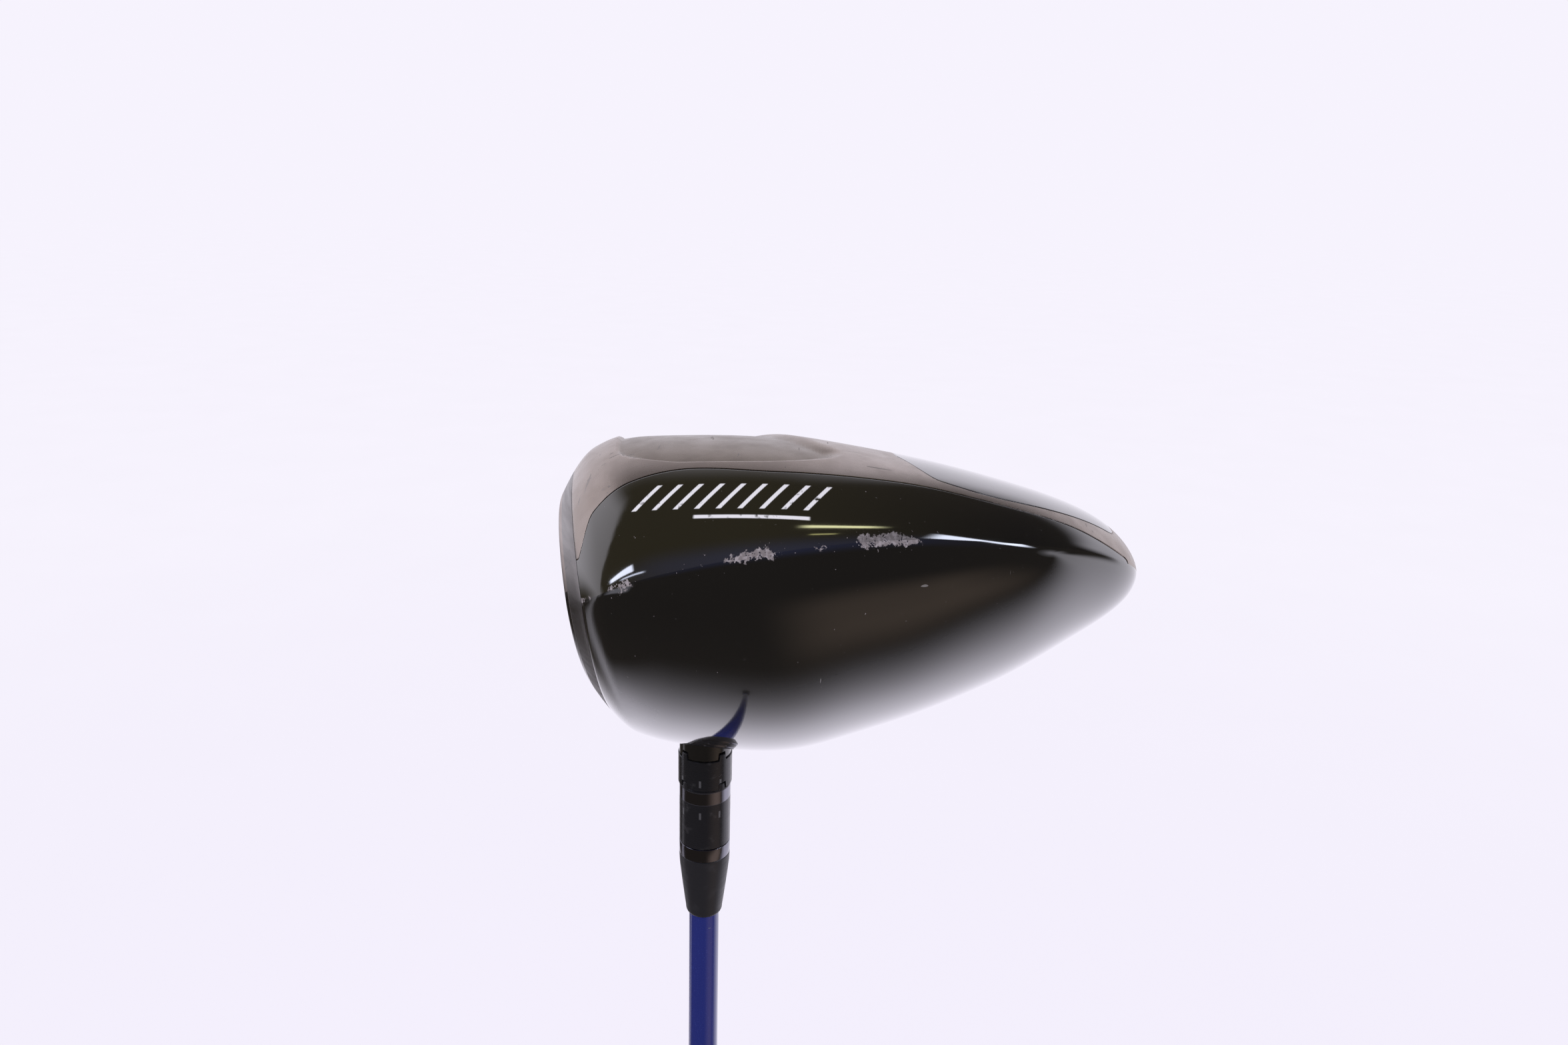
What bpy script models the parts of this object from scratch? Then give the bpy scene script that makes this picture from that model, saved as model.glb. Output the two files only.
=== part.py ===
"""Golf driver with an adjustable hosel: hollow head, keyed shaft sleeve, graphite shaft and rubber grip.

The row frame stands the club on its grip: the shaft's axis is Z and the butt's flat face is at Z = 0, so the head is
on top with its sole up. The head's own frame is its address position: X to the back, Y to the toe and Z to the crown,
with its origin where the shaft's axis meets the ground. Along the shaft, s is the distance from that origin.
"""

import math

import bmesh
import bpy
import numpy as np
from mathutils import Matrix, Vector

MM = 0.001
GAP = 0.3 * MM

# Club
CLUB_LENGTH = 1143 * MM
LIE_ANGLE = math.radians(58.5)

# Head outline, in its address frame
HEAD_DEPTH = 117 * MM
FACE_X = -22.2 * MM
HEAD_Y = 37 * MM
FACE_Z = 31 * MM
LOFT_ANGLE = math.radians(11.0)
BULGE_RADIUS = 300 * MM
ROLL_RADIUS = 300 * MM
FACE_EDGE_INSET = 5 * MM
FACE_EDGE_SHARE = 0.06
FACE_HALF_WIDTH = 55 * MM
FACE_HALF_HEIGHT = 26 * MM
CROWN_POWER = 1.78
SOLE_POWER = 1.76
# Share of the depth from the face, then half widths to toe and heel, heights of crown and sole, and heights of the
# skirt at toe and heel, in mm
STATIONS = (
    (0.000, 46.5, 44.0, 58.5, 8.0, 44.0, 30.0),
    (0.100, 57.5, 58.0, 62.7, 0.3, 41.0, 25.0),
    (0.300, 61.0, 63.0, 64.0, 0.0, 36.5, 24.0),
    (0.520, 56.0, 57.0, 58.0, 3.0, 32.0, 25.0),
    (0.740, 43.0, 44.0, 48.0, 7.5, 29.0, 26.0),
    (0.895, 26.0, 26.0, 37.5, 12.0, 26.5, 26.0),
    (1.000, 0.0, 0.0, 25.0, 25.0, 25.0, 25.0),
)

# Walls and inlaid panels of the head
WALL = 1.3 * MM
PANEL = 1.1 * MM
POCKET = PANEL + GAP
FACE_THICKNESS = 3.0 * MM
SHELL_START = (FACE_THICKNESS + 1.5 * GAP) / HEAD_DEPTH
CROWN_COLUMNS = 30
POCKET_WALL = math.radians(0.25)
PANEL_GAP = math.radians(0.6)
POCKET_WALL_SHARE = 0.002
PANEL_GAP_SHARE = 0.005
# Depth share, then degrees round the section from the toe's skirt towards the sole
TOE_PANEL_EDGE = ((0.03, 14), (0.06, 25), (0.12, 30), (0.20, 32), (0.34, 28), (0.54, 25), (0.81, 17), (0.97, 4))
SOLE_PANEL_EDGE = ((0.03, 40), (0.12, 39), (0.20, 35), (0.34, 33), (0.46, 36), (0.53, 48), (0.60, 31), (0.70, 27), (0.93, 30))
HEEL_PANEL_EDGE = ((0.03, 116), (0.49, 116), (0.545, 136), (0.93, 146))
TOE_PANEL_SPAN = (0.05, 0.955)
FRONT_RECESS_SPAN = (0.10, 0.49)
REAR_PANEL_SPAN = (0.545, 0.93)

# Along the shaft, as distances s
SLEEVE_TIP = 33 * MM
SHAFT_TIP = 41 * MM
HOSEL_WEB = (27.5 * MM, 31 * MM)
HOSEL_SHOULDER = 32 * MM
HOSEL_FOOT_SPARE = 4 * MM
HOSEL_TOP = 70 * MM
SLEEVE_SHOULDER = 80 * MM
SLEEVE_TOP = 98 * MM
BAND_TOP = 102 * MM
FERRULE_TOP = 121.4 * MM
SHAFT_TAPER_START = 165 * MM

# Radii round the shaft
SHAFT_TIP_RADIUS = 4.25 * MM
SHAFT_BUTT_RADIUS = 7.6 * MM
SHAFT_TIP_BORE = 3.0 * MM
SHAFT_BUTT_BORE = 6.7 * MM
BARREL_RADIUS = 5.2 * MM
HOSEL_BORE = BARREL_RADIUS + GAP
COLLAR_RADIUS = 7.05 * MM
RING_RADIUS = 7.35 * MM
HOSEL_FOOT_RADIUS = 6.2 * MM
WRENCH_BORE = 4.4 * MM
SCREW_RADIUS = 2.2 * MM
SCREW_HEAD_RADIUS = 3.9 * MM
KEY_COUNT = 4
KEY_WIDTH = 2.2 * MM
KEY_HEIGHT = 1.6 * MM

# Sole weight
WEIGHT_SHARE = 0.79
WEIGHT_RADIUS = 6.4 * MM
WEIGHT_HEAD = 3.6 * MM
WEIGHT_SHANK_RADIUS = 3.4 * MM
WEIGHT_SHANK = 6.0 * MM
SEAT_RADIUS = 9.0 * MM
SEAT_DEPTH = 12.0 * MM
WEIGHT_SINK = 0.6 * MM
TORX_RADIUS = 1.95 * MM
TORX_LOBE = 0.35 * MM

# Bars that tie sole and crown behind the face
BRACE_RADIUS = 2.5 * MM
BRACE_SHARE = 0.17
BRACE_SPREAD = 19 * MM

# Grip
GRIP_LENGTH = 267 * MM
CAP_HEIGHT = 4.0 * MM
GRIP_BUTT_RADIUS = 13.3 * MM
GRIP_MOUTH_RADIUS = 10.0 * MM
TAPE_THICKNESS = 0.3 * MM
GRIP_ROWS = 8
SEGMENTS = 28


def smooth_curve(points, x):
    """Value at x of a curve that passes through the points and has no overshoot between them."""
    xs, ys = np.array(points, dtype=float).T
    steps = np.diff(xs)
    slopes = np.diff(ys) / steps
    tangents = np.concatenate(([slopes[0]], np.zeros(len(xs) - 2), [slopes[-1]]))
    for k in range(1, len(xs) - 1):
        if slopes[k - 1] * slopes[k] > 0:
            tangents[k] = 2 * slopes[k - 1] * slopes[k] / (slopes[k - 1] + slopes[k])
    k = min(max(int(np.searchsorted(xs, x)) - 1, 0), len(steps) - 1)
    u = min(max((x - xs[k]) / steps[k], 0.0), 1.0)
    ends = ys[k] * (1 + 2 * u) * (1 - u) ** 2 + ys[k + 1] * u * u * (3 - 2 * u)
    return ends + steps[k] * (tangents[k] * u * (1 - u) ** 2 - tangents[k + 1] * u * u * (1 - u))


def section_sizes(phi):
    """Toe and heel half widths, crown and sole heights, and the skirt's heights at toe and heel, at one section."""
    return [
        MM * smooth_curve([(math.asin(station[0]), station[k]) for station in STATIONS], phi)
        for k in range(1, len(STATIONS[0]))
    ]


def face_offset(y, z):
    """How far the lofted, bulged face lies behind its own centre."""
    across = (y - HEAD_Y) ** 2 / (2 * BULGE_RADIUS)
    upright = (z - FACE_Z) ** 2 / (2 * ROLL_RADIUS)
    return (z - FACE_Z) * math.tan(LOFT_ANGLE) + across + upright


def head_point(phi, angle, inset=0.0, gap=0.0):
    """A point of the head's skin: sin(phi) is its share of the depth, and angle runs from the toe over the crown."""
    toe, heel, crown, sole, toe_skirt, heel_skirt = section_sizes(phi)
    share = math.sin(phi)
    across, up = math.cos(angle), math.sin(angle)
    skirt = (toe_skirt * (1 + across) + heel_skirt * (1 - across)) / 2
    half_width = max((toe if across >= 0 else heel) - inset, 0.0)
    if up >= 0:
        power = CROWN_POWER
        base = skirt + gap
        height = max(crown - inset - base, 0.0)
    else:
        power = SOLE_POWER
        base = skirt - gap
        height = -max(base - sole - inset, 0.0)
    y = HEAD_Y + math.copysign(half_width * abs(across) ** (2 / power), across)
    z = base + height * abs(up) ** (2 / power)
    edge = FACE_EDGE_INSET * max(0.0, 1 - share / FACE_EDGE_SHARE) ** 2
    y = HEAD_Y + (y - HEAD_Y) * (1 - edge / FACE_HALF_WIDTH)
    z = FACE_Z + (z - FACE_Z) * (1 - edge / FACE_HALF_HEIGHT)
    x = FACE_X + share * (HEAD_DEPTH - 2 * inset) + face_offset(y, z) * (1 - share) ** 1.5
    return Vector((x, y, z))


def sole_point(phi, below, inset=0.0, gap=0.0):
    """As head_point, with the angle measured from the toe's skirt down and round the sole to the heel."""
    return head_point(phi, -max(below, 1e-9), inset, gap)


def sole_normal(phi, below):
    """Outward normal of the sole's skin."""
    step = 0.01
    along = sole_point(phi + step, below) - sole_point(phi - step, below)
    round_it = sole_point(phi, below + step) - sole_point(phi, below - step)
    normal = along.cross(round_it).normalized()
    return normal if normal.z < 0 else -normal


def make_material(name, colour, roughness, metallic):
    material = bpy.data.materials.new(name)
    material.use_nodes = True
    shader = material.node_tree.nodes["Principled BSDF"]
    shader.inputs["Base Color"].default_value = (*colour, 1.0)
    shader.inputs["Roughness"].default_value = roughness
    shader.inputs["Metallic"].default_value = metallic
    material.diffuse_color = (*colour, 1.0)
    return material


def add_object(name, mesh, collection, material=None, parent=None):
    thing = bpy.data.objects.new(name, mesh)
    collection.objects.link(thing)
    thing.parent = parent
    if material:
        mesh.materials.append(material)
    return thing


def add_empty(name, matrix, collection):
    empty = bpy.data.objects.new(name, None)
    collection.objects.link(empty)
    empty.matrix_world = matrix
    return empty


def finish_mesh(name, form):
    """A mesh from bmesh data, with its doubles merged and its faces pointing out."""
    bmesh.ops.remove_doubles(form, verts=form.verts, dist=1e-6)
    bmesh.ops.dissolve_degenerate(form, edges=form.edges, dist=1e-7)
    bmesh.ops.recalc_face_normals(form, faces=form.faces)
    mesh = bpy.data.meshes.new(name)
    form.to_mesh(mesh)
    form.free()
    mesh.shade_smooth()
    mesh.set_sharp_from_angle(angle=math.radians(35))
    return mesh


def plate_mesh(name, outer, inner):
    """A closed plate between two grids of points that have the same rows and columns."""
    form = bmesh.new()
    grids = [[[form.verts.new(point) for point in row] for row in grid] for grid in (outer, inner)]
    rows, columns = len(outer), len(outer[0])
    for grid in grids:
        for i in range(rows - 1):
            for j in range(columns - 1):
                form.faces.new((grid[i][j], grid[i + 1][j], grid[i + 1][j + 1], grid[i][j + 1]))
    border = [(i, 0) for i in range(rows)]
    border += [(rows - 1, j) for j in range(1, columns)]
    border += [(i, columns - 1) for i in range(rows - 2, -1, -1)]
    border += [(0, j) for j in range(columns - 2, 0, -1)]
    for (i, j), (k, m) in zip(border, border[1:] + border[:1]):
        form.faces.new((grids[0][i][j], grids[0][k][m], grids[1][k][m], grids[1][i][j]))
    return finish_mesh(name, form)


def ring_mesh(name, rings, first_centre, last_centre):
    """A closed solid through rings of points, with a fan of faces to a centre point at each end."""
    form = bmesh.new()
    grid = [[form.verts.new(point) for point in ring] for ring in rings]
    count = len(rings[0])
    for lower, upper in zip(grid, grid[1:]):
        for k in range(count):
            form.faces.new((lower[k], lower[(k + 1) % count], upper[(k + 1) % count], upper[k]))
    for ring, centre in ((grid[0], first_centre), (grid[-1], last_centre)):
        middle = form.verts.new(centre)
        for k in range(count):
            form.faces.new((ring[k], ring[(k + 1) % count], middle))
    return finish_mesh(name, form)


def turned(name, profile, collection, material=None, parent=None, segments=SEGMENTS):
    """A turned solid from (radius, height) points that run down the outer side, then up the bore if there is one."""
    mesh = bpy.data.meshes.new(name)
    closed = min(radius for radius, _ in profile) > 0
    count = len(profile)
    edges = [(k, (k + 1) % count) for k in range(count if closed else count - 1)]
    mesh.from_pydata([(radius, 0.0, height) for radius, height in profile], edges, [])
    thing = add_object(name, mesh, collection, material, parent)
    screw = thing.modifiers.new("turn", "SCREW")
    screw.steps = segments
    screw.render_steps = segments
    screw.use_merge_vertices = True
    screw.merge_threshold = 0.000001
    screw.use_smooth_shade = True
    return thing


def along_shaft(profile):
    """A profile given as (radius, s), turned into heights below the head's origin."""
    return [(radius, -s) for radius, s in profile]


def prism(name, outline, depth, collection, parent=None):
    """A straight prism with its outline in XY, from z = 0 up to its depth."""
    form = bmesh.new()
    base = form.faces.new([form.verts.new((x, y, 0.0)) for x, y in outline])
    top = bmesh.ops.extrude_face_region(form, geom=[base])
    moved = [item for item in top["geom"] if isinstance(item, bmesh.types.BMVert)]
    bmesh.ops.translate(form, verts=moved, vec=(0, 0, depth))
    return add_object(name, finish_mesh(name, form), collection, parent=parent)


def box(name, low, high, collection, parent=None):
    outline = [(low[0], low[1]), (high[0], low[1]), (high[0], high[1]), (low[0], high[1])]
    thing = prism(name, outline, high[2] - low[2], collection, parent)
    thing.location = (0, 0, low[2])
    return thing


def as_cutter(thing):
    thing.hide_render = True
    thing.display_type = "WIRE"
    return thing


def combine(thing, cutter, operation):
    step = thing.modifiers.new(operation.lower(), "BOOLEAN")
    step.operation = operation
    step.object = cutter


def rows_of_depth(start, end, count, extra=()):
    """Section positions phi, closer together towards the face's edge, with extra shares of the depth added."""
    shares = [start + (end - start) * k for k in (0.008, 0.02, 0.04)]
    values = {round(math.asin(share), 6) for share in shares}
    values |= {round(float(value), 6) for value in np.linspace(math.asin(start), math.asin(end), count)}
    values |= {round(math.asin(share), 6) for share in extra}
    return sorted(values)


def pocket_borders(span):
    """Depth shares that stand a pocket's end walls almost upright."""
    return (span[0] - POCKET_WALL_SHARE, span[0], span[1], span[1] + POCKET_WALL_SHARE)


def toe_edge(phi):
    return math.radians(smooth_curve(TOE_PANEL_EDGE, math.sin(phi)))


def sole_edge(phi):
    return math.radians(smooth_curve(SOLE_PANEL_EDGE, math.sin(phi)))


def heel_edge(phi):
    return math.radians(smooth_curve(HEEL_PANEL_EDGE, math.sin(phi)))


def body_columns(phi):
    """Angles below the skirt of the body's grid, each with whether it lies in the toe pocket or a sole pocket."""
    toe, sole, heel = toe_edge(phi), sole_edge(phi), heel_edge(phi)
    columns = [(float(angle), "toe") for angle in np.linspace(0, toe, 7)]
    columns += [(float(angle), "") for angle in np.linspace(toe + POCKET_WALL, sole - POCKET_WALL, 4)]
    columns += [(float(angle), "sole") for angle in np.linspace(sole, heel, 14)]
    columns += [(float(angle), "") for angle in np.linspace(heel + POCKET_WALL, math.pi, 7)]
    return columns


def pocket_depth(share, zone):
    spans = {"toe": (TOE_PANEL_SPAN,), "sole": (FRONT_RECESS_SPAN, REAR_PANEL_SPAN)}.get(zone, ())
    inside = any(span[0] - 1e-6 <= share <= span[1] + 1e-6 for span in spans)
    return POCKET if inside else 0.0


def body_rows():
    """Section positions of the body, and of the panels let into it, so that their facets run side by side."""
    borders = pocket_borders(TOE_PANEL_SPAN) + pocket_borders(FRONT_RECESS_SPAN) + pocket_borders(REAR_PANEL_SPAN)
    return rows_of_depth(SHELL_START, 1.0, 22, borders)


def head_body(parts, material, head, holes):
    grids = ([], [])
    for phi in body_rows():
        outer, inner = [], []
        for below, zone in body_columns(phi):
            depth = pocket_depth(math.sin(phi), zone)
            outer.append(sole_point(phi, below, depth, GAP / 2))
            inner.append(sole_point(phi, below, depth + WALL, GAP / 2))
        grids[0].append(outer)
        grids[1].append(inner)
    thing = add_object("head_body", plate_mesh("head_body", *grids), parts, material, head)
    for hole in holes:
        combine(thing, hole, "DIFFERENCE")
    return thing


def crown_shell(parts, material, head, holes):
    angles = np.linspace(0, math.pi, CROWN_COLUMNS)
    phis = rows_of_depth(SHELL_START, 1.0, 22)
    outer = [[head_point(phi, float(angle), 0.0, GAP) for angle in angles] for phi in phis]
    inner = [[head_point(phi, float(angle), WALL, GAP) for angle in angles] for phi in phis]
    thing = add_object("crown_shell", plate_mesh("crown_shell", outer, inner), parts, material, head)
    for hole in holes:
        combine(thing, hole, "DIFFERENCE")
    return thing


def face_plate(parts, material, head):
    """The cup face: a bulged front, a rounded edge and a parallel back."""
    rings = []
    angles = [2 * math.pi * k / 56 for k in range(56)]
    edge_share = FACE_THICKNESS / HEAD_DEPTH
    outline = [head_point(0.0, angle) for angle in angles]
    rear = [head_point(math.asin(edge_share), angle) for angle in angles]

    def scaled(points, share, offset):
        ring = []
        for point in points:
            y = HEAD_Y + (point.y - HEAD_Y) * share
            z = FACE_Z + (point.z - FACE_Z) * share
            ring.append(Vector((FACE_X + offset + face_offset(y, z), y, z)))
        return ring

    shares = (0.93, 0.75, 0.5, 0.25)
    rings += [scaled(rear, share, FACE_THICKNESS) for share in reversed(shares)]
    rings += [rear]
    rings += [[head_point(math.asin(edge_share * k), angle) for angle in angles] for k in (0.66, 0.33)]
    rings += [outline]
    rings += [scaled(outline, share, 0.0) for share in shares]
    centres = [(FACE_X + offset, HEAD_Y, FACE_Z) for offset in (FACE_THICKNESS, 0.0)]
    mesh = ring_mesh("face_plate", rings, *centres)
    return add_object("face_plate", mesh, parts, material, head)


def inlaid_panel(name, span, edges, columns, parts, material, head):
    """A thin panel that fills a pocket of the body; edges gives its two side angles at a section."""
    first, last = span[0] + PANEL_GAP_SHARE, span[1] - PANEL_GAP_SHARE
    inside = [phi for phi in body_rows() if first + POCKET_WALL_SHARE < math.sin(phi) < last - POCKET_WALL_SHARE]
    outer, inner = [], []
    for phi in [math.asin(first)] + inside + [math.asin(last)]:
        low, high = edges(phi)
        angles = [float(angle) for angle in np.linspace(low, high, columns)]
        outer.append([sole_point(phi, angle, 0.0, GAP / 2) for angle in angles])
        inner.append([sole_point(phi, angle, PANEL, GAP / 2) for angle in angles])
    return add_object(name, plate_mesh(name, outer, inner), parts, material, head)


def hosel_envelope(cutters, head, axis_empty):
    """The head's outer form, joined to a plain cylinder round the neck: what the hosel tube may fill."""
    angles = [2 * math.pi * k / 72 for k in range(72)]
    rings = [[head_point(phi, angle, GAP / 2) for angle in angles] for phi in rows_of_depth(0.03, 0.95, 20)]
    centres = [sum(ring, Vector()) / len(ring) for ring in (rings[0], rings[-1])]
    envelope = add_object("hosel_envelope", ring_mesh("hosel_envelope", rings, *centres), cutters, None, head)
    around = [(0, HOSEL_SHOULDER), (12 * MM, HOSEL_SHOULDER), (12 * MM, HOSEL_TOP + 5 * MM), (0, HOSEL_TOP + 5 * MM)]
    neck = as_cutter(turned("neck_envelope", along_shaft(around), cutters, None, axis_empty))
    combine(envelope, neck, "UNION")
    return as_cutter(envelope)


def key_boxes(name, s_low, s_high, width, cutters, axis_empty):
    """Radial bars, one for each key of the sleeve, between two distances s."""
    reach = 2 * COLLAR_RADIUS
    bars = []
    for k in range(KEY_COUNT // 2):
        bar = box(f"{name}_{k + 1}", (-reach, -width / 2, -s_high), (reach, width / 2, -s_low), cutters, axis_empty)
        bar.rotation_euler = (0, 0, math.pi * k / (KEY_COUNT // 2) + math.pi / 4)
        bars.append(as_cutter(bar))
    return bars


def hosel_tube(parts, cutters, material, axis_empty, envelope):
    """Bore for the sleeve, a web under it for the screw, and a foot that ends level with the sole."""
    profile = [
        (HOSEL_BORE, HOSEL_TOP),
        (COLLAR_RADIUS, HOSEL_TOP),
        (COLLAR_RADIUS, HOSEL_SHOULDER),
        (HOSEL_FOOT_RADIUS, HOSEL_SHOULDER),
        (HOSEL_FOOT_RADIUS, -HOSEL_FOOT_SPARE),
        (WRENCH_BORE, -HOSEL_FOOT_SPARE),
        (WRENCH_BORE, HOSEL_WEB[0]),
        (SCREW_RADIUS + GAP, HOSEL_WEB[0]),
        (SCREW_RADIUS + GAP, HOSEL_WEB[1]),
        (HOSEL_BORE, HOSEL_WEB[1]),
    ]
    thing = turned("hosel_tube", along_shaft(profile[::-1]), parts, material, axis_empty)
    combine(thing, envelope, "INTERSECT")
    notches = key_boxes("hosel_notch", HOSEL_TOP - KEY_HEIGHT - GAP, HOSEL_TOP + MM, KEY_WIDTH + 2 * GAP, cutters,
                        axis_empty)
    for notch in notches:
        combine(thing, notch, "DIFFERENCE")
    return thing


def keyed_piece(name, profile, teeth_at, notches_at, parts, cutters, material, axis_empty):
    """A turned piece with keys below its lower shoulder, and notches in its upper face if it has any."""
    thing = turned(name, along_shaft(profile), parts, material, axis_empty)
    bore, rim = HOSEL_BORE + 0.2 * MM, COLLAR_RADIUS - 0.1 * MM
    ring = [(rim, teeth_at - KEY_HEIGHT), (rim, teeth_at + 0.5 * MM), (bore, teeth_at + 0.5 * MM),
            (bore, teeth_at - KEY_HEIGHT)]
    teeth = as_cutter(turned(name + "_keys", along_shaft(ring), cutters, None, axis_empty))
    bars = key_boxes(name + "_key_bar", teeth_at - 2 * KEY_HEIGHT, teeth_at + 2 * MM, KEY_WIDTH, cutters, axis_empty)
    cross = bars[0]
    combine(cross, bars[1], "UNION")
    combine(teeth, cross, "INTERSECT")
    combine(thing, teeth, "UNION")
    if notches_at:
        for notch in key_boxes(name + "_notch", notches_at - KEY_HEIGHT - GAP, notches_at + MM,
                               KEY_WIDTH + 2 * GAP, cutters, axis_empty):
            combine(thing, notch, "DIFFERENCE")
    return thing


def torx_outline(radius, lobe):
    count = 48
    points = []
    for k in range(count):
        angle = 2 * math.pi * k / count
        reach = radius + lobe * math.cos(6 * angle)
        points.append((reach * math.cos(angle), reach * math.sin(angle)))
    return points


def head_matrix():
    """The head's address frame in the row frame."""
    return Matrix.Translation((0, 0, CLUB_LENGTH)) @ Matrix.Rotation(math.pi / 2 + LIE_ANGLE, 4, "X")


def hosel_screw(parts, cutters, material, axis_empty):
    head_low, head_high = HOSEL_WEB[0] - 6.3 * MM, HOSEL_WEB[0] - 1.8 * MM
    shank_top = SLEEVE_TIP + 5.5 * MM
    profile = [(0, head_low), (SCREW_HEAD_RADIUS - 0.4 * MM, head_low), (SCREW_HEAD_RADIUS, head_low + 0.4 * MM),
               (SCREW_HEAD_RADIUS, head_high), (SCREW_RADIUS, head_high), (SCREW_RADIUS, shank_top), (0, shank_top)]
    thing = turned("hosel_screw", along_shaft(profile), parts, material, axis_empty)
    socket = prism("hosel_screw_socket", torx_outline(TORX_RADIUS, TORX_LOBE), 6 * MM, cutters, axis_empty)
    socket.location = (0, 0, -head_low - 3 * MM)
    combine(thing, as_cutter(socket), "DIFFERENCE")
    washer = [(SCREW_HEAD_RADIUS, head_high + GAP), (SCREW_HEAD_RADIUS, HOSEL_WEB[0] - GAP),
              (SCREW_RADIUS + GAP, HOSEL_WEB[0] - GAP), (SCREW_RADIUS + GAP, head_high + GAP)]
    turned("hosel_screw_washer", along_shaft(washer), parts, material, axis_empty)


def screw_retainer(parts, material, axis_empty):
    low, high = HOSEL_WEB[1] + GAP, SLEEVE_TIP - 0.4 * MM
    outer = BARREL_RADIUS - 0.4 * MM
    profile = [(outer, low), (outer, high), (SCREW_RADIUS + GAP, high), (SCREW_RADIUS + GAP, low)]
    turned("screw_retainer", along_shaft(profile), parts, material, axis_empty)


def sole_weight(parts, cutters, materials, seat_empty):
    """The seat let into the sole, its gasket and the weight screw; the empty's +Z points out of the sole."""
    floor = -WEIGHT_SINK - WEIGHT_HEAD - 1.6 * MM
    seat = [
        (SEAT_RADIUS, -0.2 * MM),
        (SEAT_RADIUS, -SEAT_DEPTH),
        (WEIGHT_SHANK_RADIUS + GAP, -SEAT_DEPTH),
        (WEIGHT_SHANK_RADIUS + GAP, floor),
        (WEIGHT_RADIUS + GAP, floor),
        (WEIGHT_RADIUS + GAP, -0.2 * MM),
    ]
    turned("weight_seat", seat, parts, materials["casting"], seat_empty)
    gasket = [
        (WEIGHT_RADIUS - 0.2 * MM, floor + GAP + 0.7 * MM),
        (WEIGHT_RADIUS - 0.2 * MM, floor + GAP),
        (WEIGHT_SHANK_RADIUS + GAP, floor + GAP),
        (WEIGHT_SHANK_RADIUS + GAP, floor + GAP + 0.7 * MM),
    ]
    turned("weight_gasket", gasket, parts, materials["rubber"], seat_empty)
    top, under = -WEIGHT_SINK, -WEIGHT_SINK - WEIGHT_HEAD
    screw = [
        (0, top),
        (WEIGHT_RADIUS - 0.5 * MM, top),
        (WEIGHT_RADIUS, top - 0.5 * MM),
        (WEIGHT_RADIUS, under),
        (WEIGHT_SHANK_RADIUS, under),
        (WEIGHT_SHANK_RADIUS, under - WEIGHT_SHANK),
        (0, under - WEIGHT_SHANK),
    ]
    thing = turned("weight_screw", screw, parts, materials["steel"], seat_empty)
    socket = prism("weight_socket", torx_outline(TORX_RADIUS + 0.3 * MM, TORX_LOBE), 6 * MM, cutters, seat_empty)
    socket.location = (0, 0, top - 2.6 * MM)
    combine(thing, as_cutter(socket), "DIFFERENCE")


def brace_bars(parts, material, head):
    phi = math.asin(BRACE_SHARE)
    for label, offset in (("toe", BRACE_SPREAD), ("heel", -BRACE_SPREAD)):
        y = HEAD_Y + offset
        clear = POCKET + WALL + 2 * GAP + 0.4 * MM
        columns = [head_point(phi, math.radians(k), clear) for k in range(20, 161)]
        floor = [sole_point(phi, math.radians(k), clear) for k in range(20, 161)]
        top = min(columns, key=lambda point: abs(point.y - y))
        bottom = min(floor, key=lambda point: abs(point.y - y))
        drop = 0.9 * MM
        profile = [(0, top.z - drop), (BRACE_RADIUS, top.z - drop), (BRACE_RADIUS, bottom.z + drop),
                   (0, bottom.z + drop)]
        bar = turned(f"brace_bar_{label}", profile, parts, material, head, 16)
        bar.location = (bottom.x + 2 * MM, y, 0)


def shaft_radius(s):
    butt = CLUB_LENGTH - CAP_HEIGHT
    share = max(0.0, s - SHAFT_TAPER_START) / (butt - SHAFT_TAPER_START)
    return SHAFT_TIP_RADIUS + (SHAFT_BUTT_RADIUS - SHAFT_TIP_RADIUS) * share


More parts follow.
